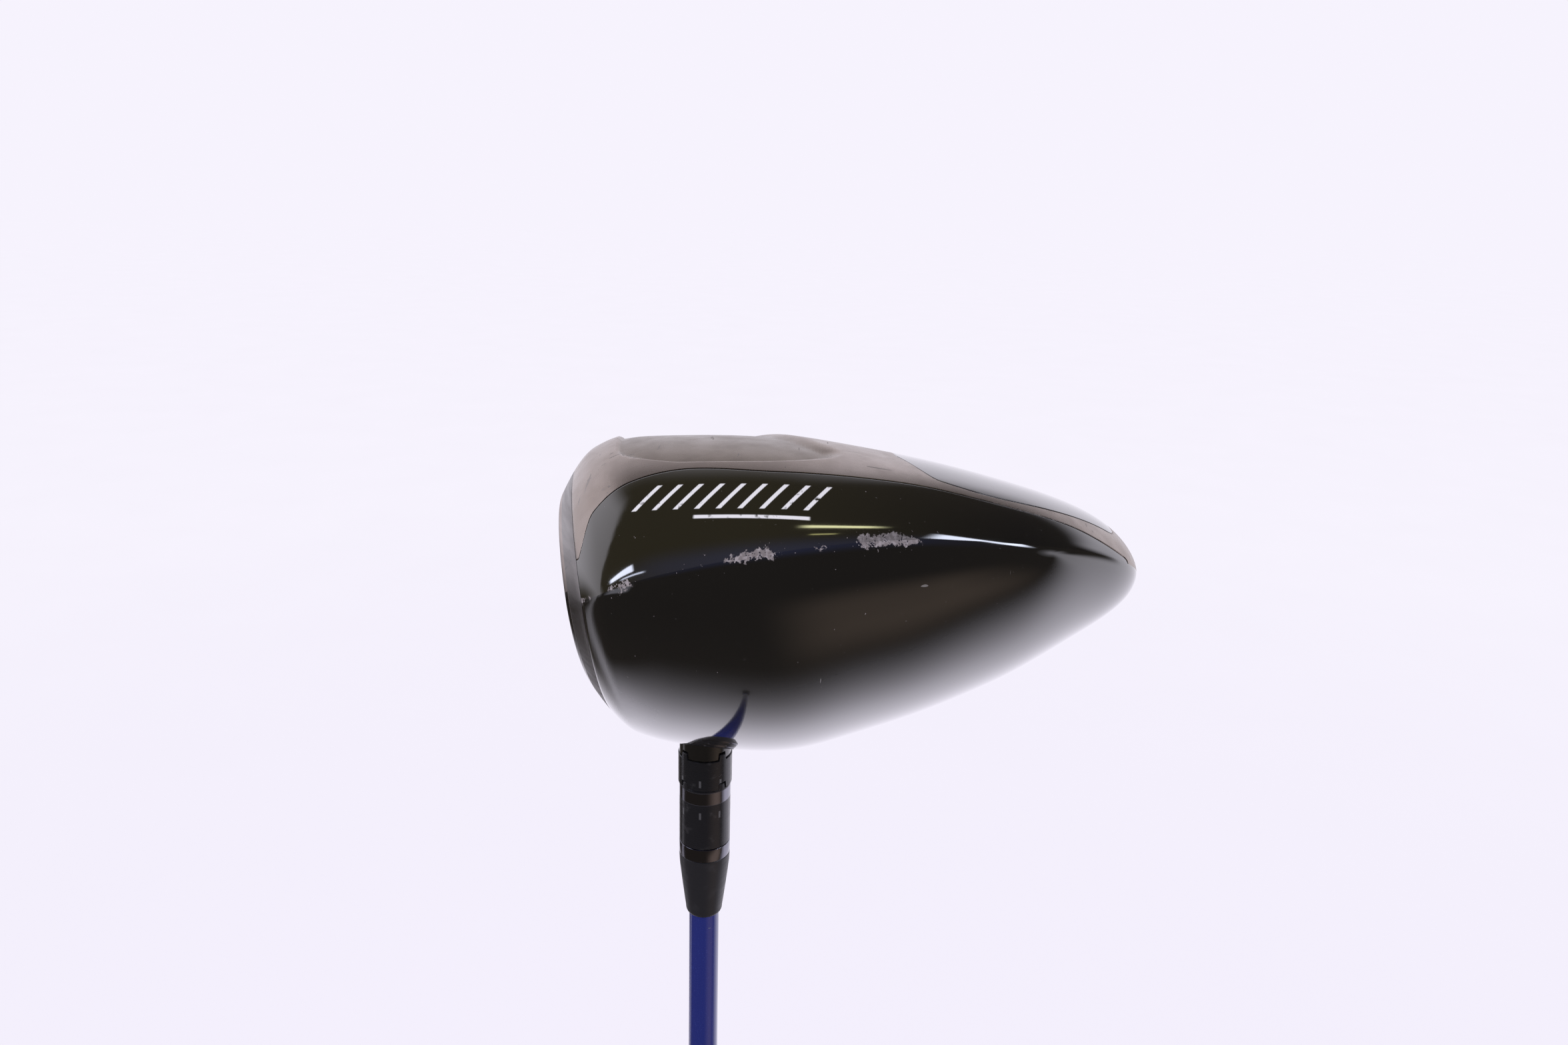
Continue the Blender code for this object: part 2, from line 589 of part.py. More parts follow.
def shaft_pieces(parts, cutters, materials, axis_empty):
    butt = CLUB_LENGTH - CAP_HEIGHT - GAP
    shaft = [(SHAFT_TIP_RADIUS, SHAFT_TIP), (SHAFT_TIP_RADIUS, SHAFT_TAPER_START), (SHAFT_BUTT_RADIUS, butt),
             (SHAFT_BUTT_BORE, butt), (SHAFT_TIP_BORE, SHAFT_TAPER_START), (SHAFT_TIP_BORE, SHAFT_TIP)]
    turned("shaft", along_shaft(shaft), parts, materials["graphite"], axis_empty)

    plug = [(0, SHAFT_TIP + GAP), (SHAFT_TIP_BORE - GAP, SHAFT_TIP + GAP), (SHAFT_TIP_BORE - GAP, SHAFT_TIP + 7 * MM),
            (0, SHAFT_TIP + 7 * MM)]
    turned("tip_plug", along_shaft(plug), parts, materials["rubber"], axis_empty, 16)

    bore = SHAFT_TIP_RADIUS + GAP
    sleeve = [(BARREL_RADIUS, SLEEVE_TIP), (BARREL_RADIUS, SLEEVE_SHOULDER), (COLLAR_RADIUS, SLEEVE_SHOULDER),
              (COLLAR_RADIUS, SLEEVE_TOP), (bore, SLEEVE_TOP), (bore, SHAFT_TIP - GAP),
              (SCREW_RADIUS + GAP, SHAFT_TIP - GAP), (SCREW_RADIUS + GAP, SLEEVE_TIP)]
    keyed_piece("shaft_sleeve", sleeve, SLEEVE_SHOULDER, None, parts, cutters, materials["sleeve"], axis_empty)

    ring_low, ring_high = HOSEL_TOP + GAP, SLEEVE_SHOULDER - GAP
    ring = [(COLLAR_RADIUS, ring_low), (RING_RADIUS, ring_low + GAP), (RING_RADIUS, ring_high - GAP),
            (COLLAR_RADIUS, ring_high), (HOSEL_BORE, ring_high), (HOSEL_BORE, ring_low)]
    keyed_piece("adjusting_ring", ring, ring_low, ring_high, parts, cutters, materials["sleeve"], axis_empty)

    low = SLEEVE_TOP + GAP
    band = [(COLLAR_RADIUS, low), (COLLAR_RADIUS, BAND_TOP), (bore, BAND_TOP), (bore, low)]
    turned("trim_band", along_shaft(band), parts, materials["band"], axis_empty)

    low = BAND_TOP + GAP
    cone_end = FERRULE_TOP - 3 * MM
    end_radius = SHAFT_TIP_RADIUS + 0.9 * MM
    ferrule = [(COLLAR_RADIUS, low), (COLLAR_RADIUS, low + 1 * MM), (end_radius, cone_end)]
    for k in range(1, 5):
        turn = math.pi / 2 * k / 4
        ferrule.append((bore + GAP + (end_radius - bore - GAP) * math.cos(turn), cone_end + 3 * MM * math.sin(turn)))
    ferrule += [(bore, FERRULE_TOP), (bore, low)]
    turned("ferrule", along_shaft(ferrule), parts, materials["ferrule"], axis_empty)


def grip_pieces(parts, materials):
    def outer(height):
        share = (GRIP_LENGTH - height) / GRIP_LENGTH
        return GRIP_MOUTH_RADIUS + (GRIP_BUTT_RADIUS - GRIP_MOUTH_RADIUS) * share ** 1.35

    low = CAP_HEIGHT + GAP
    heights = [GRIP_LENGTH + (low - GRIP_LENGTH) * k / GRIP_ROWS for k in range(GRIP_ROWS + 1)]
    clearance = 2 * GAP + TAPE_THICKNESS
    bore = [shaft_radius(CLUB_LENGTH - height) + clearance for height in (low, GRIP_LENGTH)]
    profile = [(outer(height), height) for height in heights] + [(bore[0], low), (bore[1], GRIP_LENGTH)]
    turned("grip", profile, parts, materials["grip"])

    tape_bore = [shaft_radius(CLUB_LENGTH - height) + GAP for height in (low + MM, GRIP_LENGTH - 3 * MM)]
    tape = [(tape_bore[1] + TAPE_THICKNESS, GRIP_LENGTH - 3 * MM), (tape_bore[0] + TAPE_THICKNESS, low + MM),
            (tape_bore[0], low + MM), (tape_bore[1], GRIP_LENGTH - 3 * MM)]
    turned("grip_tape", tape, parts, materials["tape"])

    radius = outer(CAP_HEIGHT)
    round_over = 1.6 * MM
    cap = [(0, CAP_HEIGHT), (radius, CAP_HEIGHT)]
    for k in range(5):
        turn = math.pi / 2 * k / 4
        cap.append((radius - round_over + round_over * math.cos(turn), round_over * (1 - math.sin(turn))))
    cap.append((0, 0))
    turned("grip_cap", cap, parts, materials["grip"])


def main():
    for thing in list(bpy.data.objects):
        bpy.data.objects.remove(thing, do_unlink=True)
    parts = bpy.data.collections.new("golf_driver")
    cutters = bpy.data.collections.new("golf_driver_cutters")
    for collection in (parts, cutters):
        bpy.context.scene.collection.children.link(collection)

    materials = {
        "casting": make_material("bronze_casting", (0.16, 0.13, 0.11), 0.38, 1.0),
        "gloss": make_material("gloss_black", (0.010, 0.010, 0.012), 0.08, 0.0),
        "panel": make_material("gloss_panel", (0.030, 0.028, 0.024), 0.12, 0.0),
        "face": make_material("face_metal", (0.05, 0.05, 0.055), 0.35, 1.0),
        "sleeve": make_material("sleeve_black", (0.015, 0.015, 0.017), 0.2, 0.6),
        "band": make_material("band_metal", (0.35, 0.38, 0.45), 0.25, 1.0),
        "ferrule": make_material("ferrule_black", (0.02, 0.02, 0.022), 0.35, 0.0),
        "graphite": make_material("blue_graphite", (0.015, 0.025, 0.17), 0.12, 0.0),
        "steel": make_material("screw_steel", (0.45, 0.45, 0.46), 0.3, 1.0),
        "rubber": make_material("black_rubber", (0.02, 0.02, 0.02), 0.7, 0.0),
        "grip": make_material("grip_rubber", (0.025, 0.025, 0.027), 0.75, 0.0),
        "tape": make_material("grip_tape", (0.7, 0.68, 0.6), 0.8, 0.0),
    }
    head = add_empty("head_frame", head_matrix(), parts)
    axis_empty = add_empty("shaft_axis", Matrix.Translation((0, 0, CLUB_LENGTH)), parts)

    phi = math.asin(WEIGHT_SHARE)
    outward = sole_normal(phi, math.pi / 2)
    turn = outward.to_track_quat("Z", "Y").to_matrix().to_4x4()
    seat = head_matrix() @ Matrix.Translation(sole_point(phi, math.pi / 2)) @ turn
    seat_empty = add_empty("weight_axis", seat, parts)

    neck = [(COLLAR_RADIUS + 1.5 * GAP, HOSEL_SHOULDER - 2 * MM), (COLLAR_RADIUS + 1.5 * GAP, HOSEL_TOP),
            (0, HOSEL_TOP)]
    neck_hole = as_cutter(turned("neck_hole", along_shaft([(0, HOSEL_SHOULDER - 2 * MM)] + neck), cutters, None,
                                 axis_empty, 36))
    foot_radius = HOSEL_FOOT_RADIUS + 1.5 * GAP
    foot = [(0, -2 * HOSEL_FOOT_SPARE), (foot_radius, -2 * HOSEL_FOOT_SPARE), (foot_radius, HOSEL_SHOULDER),
            (0, HOSEL_SHOULDER)]
    foot_hole = as_cutter(turned("foot_hole", along_shaft(foot), cutters, None, axis_empty, 36))
    port = [(0, 4 * MM), (SEAT_RADIUS + GAP, 4 * MM), (SEAT_RADIUS + GAP, -SEAT_DEPTH), (0, -SEAT_DEPTH)]
    weight_hole = as_cutter(turned("weight_hole", port, cutters, None, seat_empty, 36))

    head_body(parts, materials["casting"], head, (neck_hole, foot_hole, weight_hole))
    crown_shell(parts, materials["gloss"], head, (neck_hole, foot_hole))
    face_plate(parts, materials["face"], head)
    inlaid_panel("toe_panel", TOE_PANEL_SPAN, lambda phi: (0.0, toe_edge(phi) - PANEL_GAP), 7, parts,
                 materials["gloss"], head)
    rear = inlaid_panel("sole_rear_panel", REAR_PANEL_SPAN,
                        lambda phi: (sole_edge(phi) + PANEL_GAP, heel_edge(phi) - PANEL_GAP), 14, parts,
                        materials["panel"], head)
    combine(rear, weight_hole, "DIFFERENCE")
    brace_bars(parts, materials["steel"], head)
    envelope = hosel_envelope(cutters, head, axis_empty)
    hosel_tube(parts, cutters, materials["casting"], axis_empty, envelope)
    hosel_screw(parts, cutters, materials["steel"], axis_empty)
    screw_retainer(parts, materials["rubber"], axis_empty)
    sole_weight(parts, cutters, materials, seat_empty)
    shaft_pieces(parts, cutters, materials, axis_empty)
    grip_pieces(parts, materials)


main()
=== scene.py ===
"""Looks of the golf driver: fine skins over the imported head, hosel, shaft and grip, materials, studio and camera."""

import math

import bmesh
import bpy
import numpy as np
from mathutils import Matrix, Vector


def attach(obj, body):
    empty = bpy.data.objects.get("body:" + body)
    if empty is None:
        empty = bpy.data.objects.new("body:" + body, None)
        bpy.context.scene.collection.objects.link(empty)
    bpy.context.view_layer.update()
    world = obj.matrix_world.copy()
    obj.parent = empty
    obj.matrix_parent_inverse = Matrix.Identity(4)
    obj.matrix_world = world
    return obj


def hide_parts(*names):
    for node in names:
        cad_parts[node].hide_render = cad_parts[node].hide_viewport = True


MM = 0.001

# Head form, as in the CAD model: its own frame has X to the back, Y to the toe and Z to the crown
CLUB_LENGTH = 1143 * MM
LIE_ANGLE = math.radians(58.5)
HEAD_DEPTH = 117 * MM
FACE_X = -22.2 * MM
HEAD_Y = 37 * MM
FACE_Z = 31 * MM
LOFT_ANGLE = math.radians(11.0)
BULGE_RADIUS = 300 * MM
ROLL_RADIUS = 300 * MM
FACE_EDGE_INSET = 5 * MM
FACE_EDGE_SHARE = 0.06
FACE_HALF_WIDTH = 55 * MM
FACE_HALF_HEIGHT = 26 * MM
CROWN_POWER = 1.78
SOLE_POWER = 1.76
# Depth share, then in mm: half widths at toe and heel, heights of crown and sole, skirt heights at toe and heel
STATIONS = (
    (0.000, 46.5, 44.0, 58.5, 8.0, 44.0, 30.0),
    (0.100, 57.5, 58.0, 62.7, 0.3, 41.0, 25.0),
    (0.300, 61.0, 63.0, 64.0, 0.0, 36.5, 24.0),
    (0.520, 56.0, 57.0, 58.0, 3.0, 32.0, 25.0),
    (0.740, 43.0, 44.0, 48.0, 7.5, 29.0, 26.0),
    (0.895, 26.0, 26.0, 37.5, 12.0, 26.5, 26.0),
    (1.000, 0.0, 0.0, 25.0, 25.0, 25.0, 25.0),
)
WALL = 1.3 * MM
FACE_THICKNESS = 3.0 * MM
SHELL_START = (FACE_THICKNESS + 0.06 * MM) / HEAD_DEPTH

# Edges of the panels: depth share, then degrees round the section from the toe's skirt towards the sole
TOE_PANEL_EDGE = ((0.03, 14), (0.06, 25), (0.12, 30), (0.20, 32), (0.34, 28.5), (0.54, 26.5), (0.66, 23.5),
                  (0.81, 19), (0.97, 4))
SOLE_PANEL_EDGE = ((0.03, 40), (0.12, 39), (0.20, 35), (0.34, 33), (0.46, 36), (0.53, 48), (0.60, 31), (0.70, 27),
                   (0.93, 30))
HEEL_PANEL_EDGE = ((0.03, 116), (0.49, 116), (0.545, 136), (0.93, 146))
TOE_PANEL_SPAN = (SHELL_START, 0.955)
# The recess's rear wall slants from the first angle to the second, where it reaches the given depth share
RECESS_TIP = (math.radians(38), math.radians(92), 0.27)
REAR_WALL_SLOPE = 0.34
FRONT_RECESS_SPAN = (0.10, 0.49)
REAR_PANEL_SPAN = (0.545, 0.93)
RECESS_DEPTH = 0.9 * MM
RECESS_RAMP = 1.5 * MM
RECESS_CORNER = 7.0 * MM
PANEL_DEPTH = 0.9 * MM
PANEL_GAP = 0.06 * MM
PANEL_ROUND = 0.2 * MM
PANEL_CORNER = 3 * MM
SKIN_LAP = 1.6 * MM
SCORE_LINE_PITCH = 4.8 * MM
SCORE_LINE_REACH = 0.82
CLEAR_HALF_WIDTH = 13 * MM

# Along the shaft, as distances s from the head's end of the club: z is CLUB_LENGTH - s
HOSEL_WEB = (27.5 * MM, 31 * MM)
HOSEL_TOP = 71 * MM
SLEEVE_TIP = 33 * MM
SLEEVE_SHOULDER = 80 * MM
SLEEVE_TOP = 98 * MM
BAND_TOP = 102 * MM
FERRULE_TOP = 121.4 * MM
SHAFT_TIP = 41 * MM
SHAFT_TAPER_START = 165 * MM
SHAFT_TIP_RADIUS = 4.25 * MM
SHAFT_BUTT_RADIUS = 7.6 * MM
BARREL_RADIUS = 5.2 * MM
HOSEL_BORE = 5.5 * MM
COLLAR_RADIUS = 7.05 * MM
RING_RADIUS = 7.35 * MM
LINER_RADIUS = 6.3 * MM
WRENCH_BORE = 4.4 * MM
KEY_COUNT = 4
KEY_WIDTH = 2.2 * MM
KEY_HEIGHT = 1.6 * MM
KEY_PLAY = 0.5 * MM
NOTCH_DEPTH = KEY_HEIGHT + 0.3 * MM
SCREW_RADIUS = 2.2 * MM
SCREW_HEAD_RADIUS = 3.9 * MM
TORX_RADIUS = 1.95 * MM
TORX_LOBE = 0.35 * MM
THREAD_PITCH = 0.8 * MM
THREAD_DEPTH = 0.25 * MM

# Sole weight
WEIGHT_SHARE = 0.79
WEIGHT_RADIUS = 6.4 * MM
SEAT_RADIUS = 9.0 * MM

# Grip
GRIP_LENGTH = 267 * MM
CAP_HEIGHT = 4.0 * MM
GRIP_BUTT_RADIUS = 13.3 * MM
GRIP_MOUTH_RADIUS = 10.0 * MM
PATTERN_PITCH = 5.2 * MM
PATTERN_WIDTH = 0.55 * MM
PATTERN_DEPTH = 0.42 * MM
GROOVE_DEPTH = 0.5 * MM
PATTERN_FIELDS = ((12, 118), (130, 205), (217, 250))
GROOVES = (8, 124, 211, 256)

# Camera, in the head's frame
CAMERA_TARGET = Vector((20.1, 37.0, 15.2)) * MM
CAMERA_DISTANCE = 239.8 * MM
CAMERA_ELEVATION = math.radians(14.55)
CAMERA_YAW = math.radians(-0.73)
CAMERA_ROLL = math.radians(2.08)
CAMERA_LENS = 25.33

# Paint, in mm: chipped zones along the head as start, end and density, what keeps the heel's side free of chips, and
# the toe's generic mark
GLOSS_BLACK = (0.0085, 0.008, 0.007)
CHIP_ZONES = ((3.0, 9.0, 0.75), (12.0, 21.0, 0.62), (24.0, 32.0, 0.55), (35.0, 46.0, 0.9), (50.0, 56.0, 0.55),
              (58.0, 71.0, 1.15))
CHIP_FREE = 20.0
SPECK_SCALE = 2200.0
BAR_HEIGHTS = (22.9, 28.1)
BAR_SPAN = (14.6, 48.0)
BAR_PITCH = 3.6
BAR_EDGES = (1.0, 1.85)
BAR_SLANT = 0.75
LINE_HEIGHTS = (29.35, 30.0)
LINE_SPAN = (6.0, 25.0)
MARK_SOFTNESS = 0.08
SILVER_RINGS = ((0.345, 0.347), (0.352, 0.360))

# Studio. Sheets: name, distance from the head, spans of lift and aside in degrees, softness, colour
ROOM_COLOUR = (0.040, 0.033, 0.027)
WORLD_COLOUR = (0.925, 0.895, 0.985)
FLOOR_RADIUS = 30.0
FLOOR_GLOW = 0.095
SHEETS = (
    ("blue_haze", 0.95, (22, 72), (-84, 84), 0.45, (0.10, 0.13, 0.34)),
    ("dark_corner", 1.05, (-172, -112), (-88, -14), 0.3, ROOM_COLOUR),
    ("dark_side", 1.05, (120, 215), (60, 89), 0.3, ROOM_COLOUR),
    ("room_floor", 0.97, (-92, -28), (4, 74), 0.4, (0.30, 0.225, 0.175)),
    ("left_window", 0.9, (54, 64), (-78, -54), 0.12, (9.0, 9.5, 11.5)),
    ("left_window_2", 0.9, (48, 51), (-70, -44), 0.2, (6.0, 6.4, 8.0)),
    ("left_wall", 0.9, (-8, 26), (-80, -52), 0.25, (0.9, 0.9, 1.05)),
    ("ceiling_lamp", 0.9, (78, 82), (6, 30), 0.25, (9.0, 8.8, 5.0)),
    ("ceiling_lamp_2", 0.9, (69, 71), (12, 22), 0.25, (4.0, 3.8, 1.6)),
    ("right_window", 0.9, (58, 76), (42, 80), 0.2, (9.0, 9.6, 11.5)),
)

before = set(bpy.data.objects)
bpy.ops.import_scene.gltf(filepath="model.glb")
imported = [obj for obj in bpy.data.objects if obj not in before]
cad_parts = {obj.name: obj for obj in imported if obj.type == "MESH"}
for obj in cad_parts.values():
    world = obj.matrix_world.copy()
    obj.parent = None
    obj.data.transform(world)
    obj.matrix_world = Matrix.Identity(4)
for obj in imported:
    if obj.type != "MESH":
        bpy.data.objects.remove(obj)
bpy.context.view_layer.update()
TO_ROW = Matrix.Translation((0, 0, CLUB_LENGTH)) @ Matrix.Rotation(math.pi / 2 + LIE_ANGLE, 4, "X")


# ---------------------------------------------------------------- head form

def smooth_curve(points, x):
    """Value at x of a curve that passes through the points and has no overshoot between them."""
    xs, ys = np.array(points, dtype=float).T
    steps = np.diff(xs)
    slopes = np.diff(ys) / steps
    tangents = np.concatenate(([slopes[0]], np.zeros(len(xs) - 2), [slopes[-1]]))
    for k in range(1, len(xs) - 1):
        if slopes[k - 1] * slopes[k] > 0:
            tangents[k] = 2 * slopes[k - 1] * slopes[k] / (slopes[k - 1] + slopes[k])
    k = min(max(int(np.searchsorted(xs, x)) - 1, 0), len(steps) - 1)
    u = min(max((x - xs[k]) / steps[k], 0.0), 1.0)
    ends = ys[k] * (1 + 2 * u) * (1 - u) ** 2 + ys[k + 1] * u * u * (3 - 2 * u)
    return ends + steps[k] * (tangents[k] * u * (1 - u) ** 2 - tangents[k + 1] * u * u * (1 - u))


def station_tables():
    """The six section sizes on a fine, evenly spaced scale of phi, smoothed so that reflections run without kinks."""
    count, reach = 400, 26
    phis = np.linspace(0, math.pi / 2, count)
    kernel = np.hanning(2 * reach + 1)
    kernel /= kernel.sum()
    tables = []
    for k in range(1, len(STATIONS[0])):
        points = [(math.asin(station[0]), station[k]) for station in STATIONS]
        values = np.array([MM * smooth_curve(points, phi) for phi in phis])
        before = 2 * values[0] - values[reach:0:-1]
        after = 2 * values[-1] - values[-2:-reach - 2:-1]
        tables.append(np.convolve(np.concatenate((before, values, after)), kernel, "valid"))
    return phis, tables


PHIS, TABLES = station_tables()


def section_sizes(phi):
    return [float(np.interp(phi, PHIS, table)) for table in TABLES]


def face_offset(y, z):
    across = (y - HEAD_Y) ** 2 / (2 * BULGE_RADIUS)
    upright = (z - FACE_Z) ** 2 / (2 * ROLL_RADIUS)
    return (z - FACE_Z) * math.tan(LOFT_ANGLE) + across + upright


def head_row(phi, angles, inset=0.0):
    """Points of one section of the head's skin, in the head's frame; sin(phi) is its share of the depth."""
    toe, heel, crown, sole, toe_skirt, heel_skirt = section_sizes(phi)
    share = math.sin(phi)
    across, up = np.cos(angles), np.sin(angles)
    top = up >= 0
    base = (toe_skirt * (1 + across) + heel_skirt * (1 - across)) / 2
    half_width = np.maximum(np.where(across >= 0, toe, heel) - inset, 0.0)
    power = np.where(top, CROWN_POWER, SOLE_POWER)
    power = power + (2.0 - power) * np.abs(up) ** 4
    height = np.where(top, np.maximum(crown - inset - base, 0.0), -np.maximum(base - sole - inset, 0.0))
    y = HEAD_Y + np.sign(across) * half_width * np.abs(across) ** (2 / power)
    z = base + height * np.abs(up) ** (2 / power)
    edge = FACE_EDGE_INSET * max(0.0, 1 - share / FACE_EDGE_SHARE) ** 2
    y = HEAD_Y + (y - HEAD_Y) * (1 - edge / FACE_HALF_WIDTH)
    z = FACE_Z + (z - FACE_Z) * (1 - edge / FACE_HALF_HEIGHT)
    x = FACE_X + share * (HEAD_DEPTH - 2 * inset) + face_offset(y, z) * (1 - share) ** 1.5
    return np.stack((x, y, z), axis=-1)


def sole_row(phi, below, inset=0.0):
    """As head_row, with the angles measured from the toe's skirt down and round the sole to the heel."""
    return head_row(phi, -np.maximum(below, 1e-9), inset)


def edge_angle(table, phi):
    return math.radians(smooth_curve(table, math.sin(phi)))


def arc_lengths(points):
    """Running length along a row of points."""
    steps = np.linalg.norm(np.diff(points, axis=0), axis=1)
    return np.concatenate(([0.0], np.cumsum(steps)))


def depth_scale():
    """Running length along the head's side from face to tail, against phi."""
    phis = np.linspace(0, math.pi / 2, 200)
    sides = np.array([sole_row(phi, np.array([math.radians(45)]))[0] for phi in phis])
    return phis, arc_lengths(sides)


DEPTH_PHIS, DEPTH_RUN = depth_scale()


def depth_run(share):
    return float(np.interp(math.asin(min(share, 1.0)), DEPTH_PHIS, DEPTH_RUN))


def rounded_drop(distance, radius):
    """How far a rounded edge lies under its surface, at a distance from the edge."""
    inward = np.clip(radius - distance, 0.0, radius)
    return radius - np.sqrt(radius ** 2 - inward ** 2)


def pocket_distance(phi, arc, low, high, first, last, corner, rear_slope=1.0):
    """Signed distance, negative inside, to a pocket with rounded corners between arc positions and depth runs."""
    run = float(np.interp(phi, DEPTH_PHIS, DEPTH_RUN))
    along = np.maximum(first - run, (run - last) * rear_slope)
    beside = np.maximum(low - arc, arc - high)
    a = np.maximum(along + corner, 0.0)
    b = np.maximum(beside + corner, 0.0)
    return np.minimum(np.maximum(along + corner, beside + corner), 0.0) + np.hypot(a, b) - corner


def fade(value, low, high):
    u = np.clip((value - low) / (high - low), 0.0, 1.0)
    return u * u * (3 - 2 * u)


# ---------------------------------------------------------------- mesh helpers

def placed(points, matrix):
    return points @ np.array(matrix.to_3x3()).T + np.array(matrix.translation)


def full_turn(count):
    return 2 * math.pi * np.arange(count) / count


def hoop(radius, height, turns):
    """Points round the Z axis; the radius and the height may vary on the way round."""
    return np.stack((radius * np.cos(turns), radius * np.sin(turns), np.broadcast_to(height, turns.shape)), axis=-1)


def add_object(name, data):
    thing = bpy.data.objects.new(name, data)
    bpy.context.scene.collection.objects.link(thing)
    return thing


def mesh_object(name, points, faces, design=None, sharp=40):
    mesh = bpy.data.meshes.new(name)
    mesh.from_pydata([tuple(map(float, point)) for point in points], [], faces)
    if design is not None:
        layer = mesh.attributes.new("design", "FLOAT_VECTOR", "POINT")
        layer.data.foreach_set("vector", np.asarray(design, dtype=np.float32).ravel())
    form = bmesh.new()
    form.from_mesh(mesh)
    bmesh.ops.remove_doubles(form, verts=form.verts, dist=1e-6)
    bmesh.ops.dissolve_degenerate(form, edges=form.edges, dist=1e-7)
    bmesh.ops.recalc_face_normals(form, faces=form.faces)
    form.to_mesh(mesh)
    form.free()
    mesh.shade_smooth()
    mesh.set_sharp_from_angle(angle=math.radians(sharp))
    return add_object(name, mesh)


def grid_faces(rows, columns, start=0, wrap=False):
    faces = []
    for i in range(rows - 1):
        for j in range(columns if wrap else columns - 1):
            k = (j + 1) % columns
            faces.append((start + i * columns + j, start + (i + 1) * columns + j,
                          start + (i + 1) * columns + k, start + i * columns + k))
    return faces


def plate(name, outer, inner, design, sharp=40):
    """A closed plate between two grids with the same rows and columns."""
    outer, inner = np.array(outer), np.array(inner)
    rows, columns = outer.shape[:2]
    size = rows * columns
    faces = grid_faces(rows, columns) + [tuple(reversed(face)) for face in grid_faces(rows, columns, size)]
    border = [i * columns for i in range(rows)]
    border += [(rows - 1) * columns + j for j in range(1, columns)]
    border += [i * columns + columns - 1 for i in range(rows - 2, -1, -1)]
    border += list(range(columns - 2, 0, -1))
    faces += [(a, b, b + size, a + size) for a, b in zip(border, border[1:] + border[:1])]
    points = placed(np.concatenate((outer.reshape(-1, 3), inner.reshape(-1, 3))), TO_ROW)
    values = np.array(design).reshape(-1, 3)
    return mesh_object(name, points, faces, np.concatenate((values, values)), sharp)


def ring_loft(name, rings, closed=False, design=None, sharp=35):
    """A skin through rings of points, with its ends closed by a fan unless the last ring joins the first."""
    rings = np.array(rings)
    rows, columns = rings.shape[:2]
    points = rings.reshape(-1, 3)
    faces = grid_faces(rows, columns, 0, True)
    values = None if design is None else np.array(design).reshape(-1, 3)
    if closed:
        last = (rows - 1) * columns
        faces += [(last + j, j, (j + 1) % columns, last + (j + 1) % columns) for j in range(columns)]
    else:
        for row in (0, rows - 1):
            middle = len(points)
            points = np.concatenate((points, rings[row].mean(axis=0)[None]))
            faces += [(row * columns + j, row * columns + (j + 1) % columns, middle) for j in range(columns)]
            if values is not None:
                values = np.concatenate((values, values[row * columns][None]))
    return mesh_object(name, points, faces, values, sharp)


def turned(name, profile, matrix=None, closed=False, segments=96):
    """A turned piece from (radius, height) points, placed by a matrix."""
    turns = full_turn(segments)
    rings, design = [], []
    for radius, height in profile:
        radius = max(radius, 1e-6)
        rings.append(hoop(radius, height, turns))
        design.append(np.stack((radius * turns, np.full(segments, height), turns), axis=-1))
    rings = np.array(rings)
    if matrix is not None:
        rings = placed(rings, matrix)
    return ring_loft(name, rings, closed, design)


def shaft_turned(name, profile, closed=False, segments=96):
    """A turned piece on the shaft's axis, from (radius, s) points."""
    return turned(name, [(radius, CLUB_LENGTH - s) for radius, s in profile], None, closed, segments)


def cut(thing, cutter, operation="DIFFERENCE"):
    """Applies a Boolean to a piece."""
    step = thing.modifiers.new("cut", "BOOLEAN")
    step.operation = operation
    step.object = cutter
    bpy.context.view_layer.update()
    evaluated = thing.evaluated_get(bpy.context.evaluated_depsgraph_get())
    mesh = bpy.data.meshes.new_from_object(evaluated)
    thing.modifiers.clear()
    old = thing.data
    thing.data = mesh
    bpy.data.meshes.remove(old)


def rounded(profile, radius, steps=3):
    """A profile with each of its inner corners rounded."""
    points = [Vector(point) for point in profile]
    result = [tuple(points[0])]
    for before, corner, after in zip(points, points[1:], points[2:]):
        back, ahead = before - corner, after - corner
        reach = min(radius, back.length * 0.45, ahead.length * 0.45)
        start, end = corner + back.normalized() * reach, corner + ahead.normalized() * reach
        for k in range(steps + 1):
            u = k / steps
            result.append(tuple(start * (1 - u) ** 2 + corner * 2 * u * (1 - u) + end * u * u))
    result.append(tuple(points[-1]))
    return result


# ---------------------------------------------------------------- materials

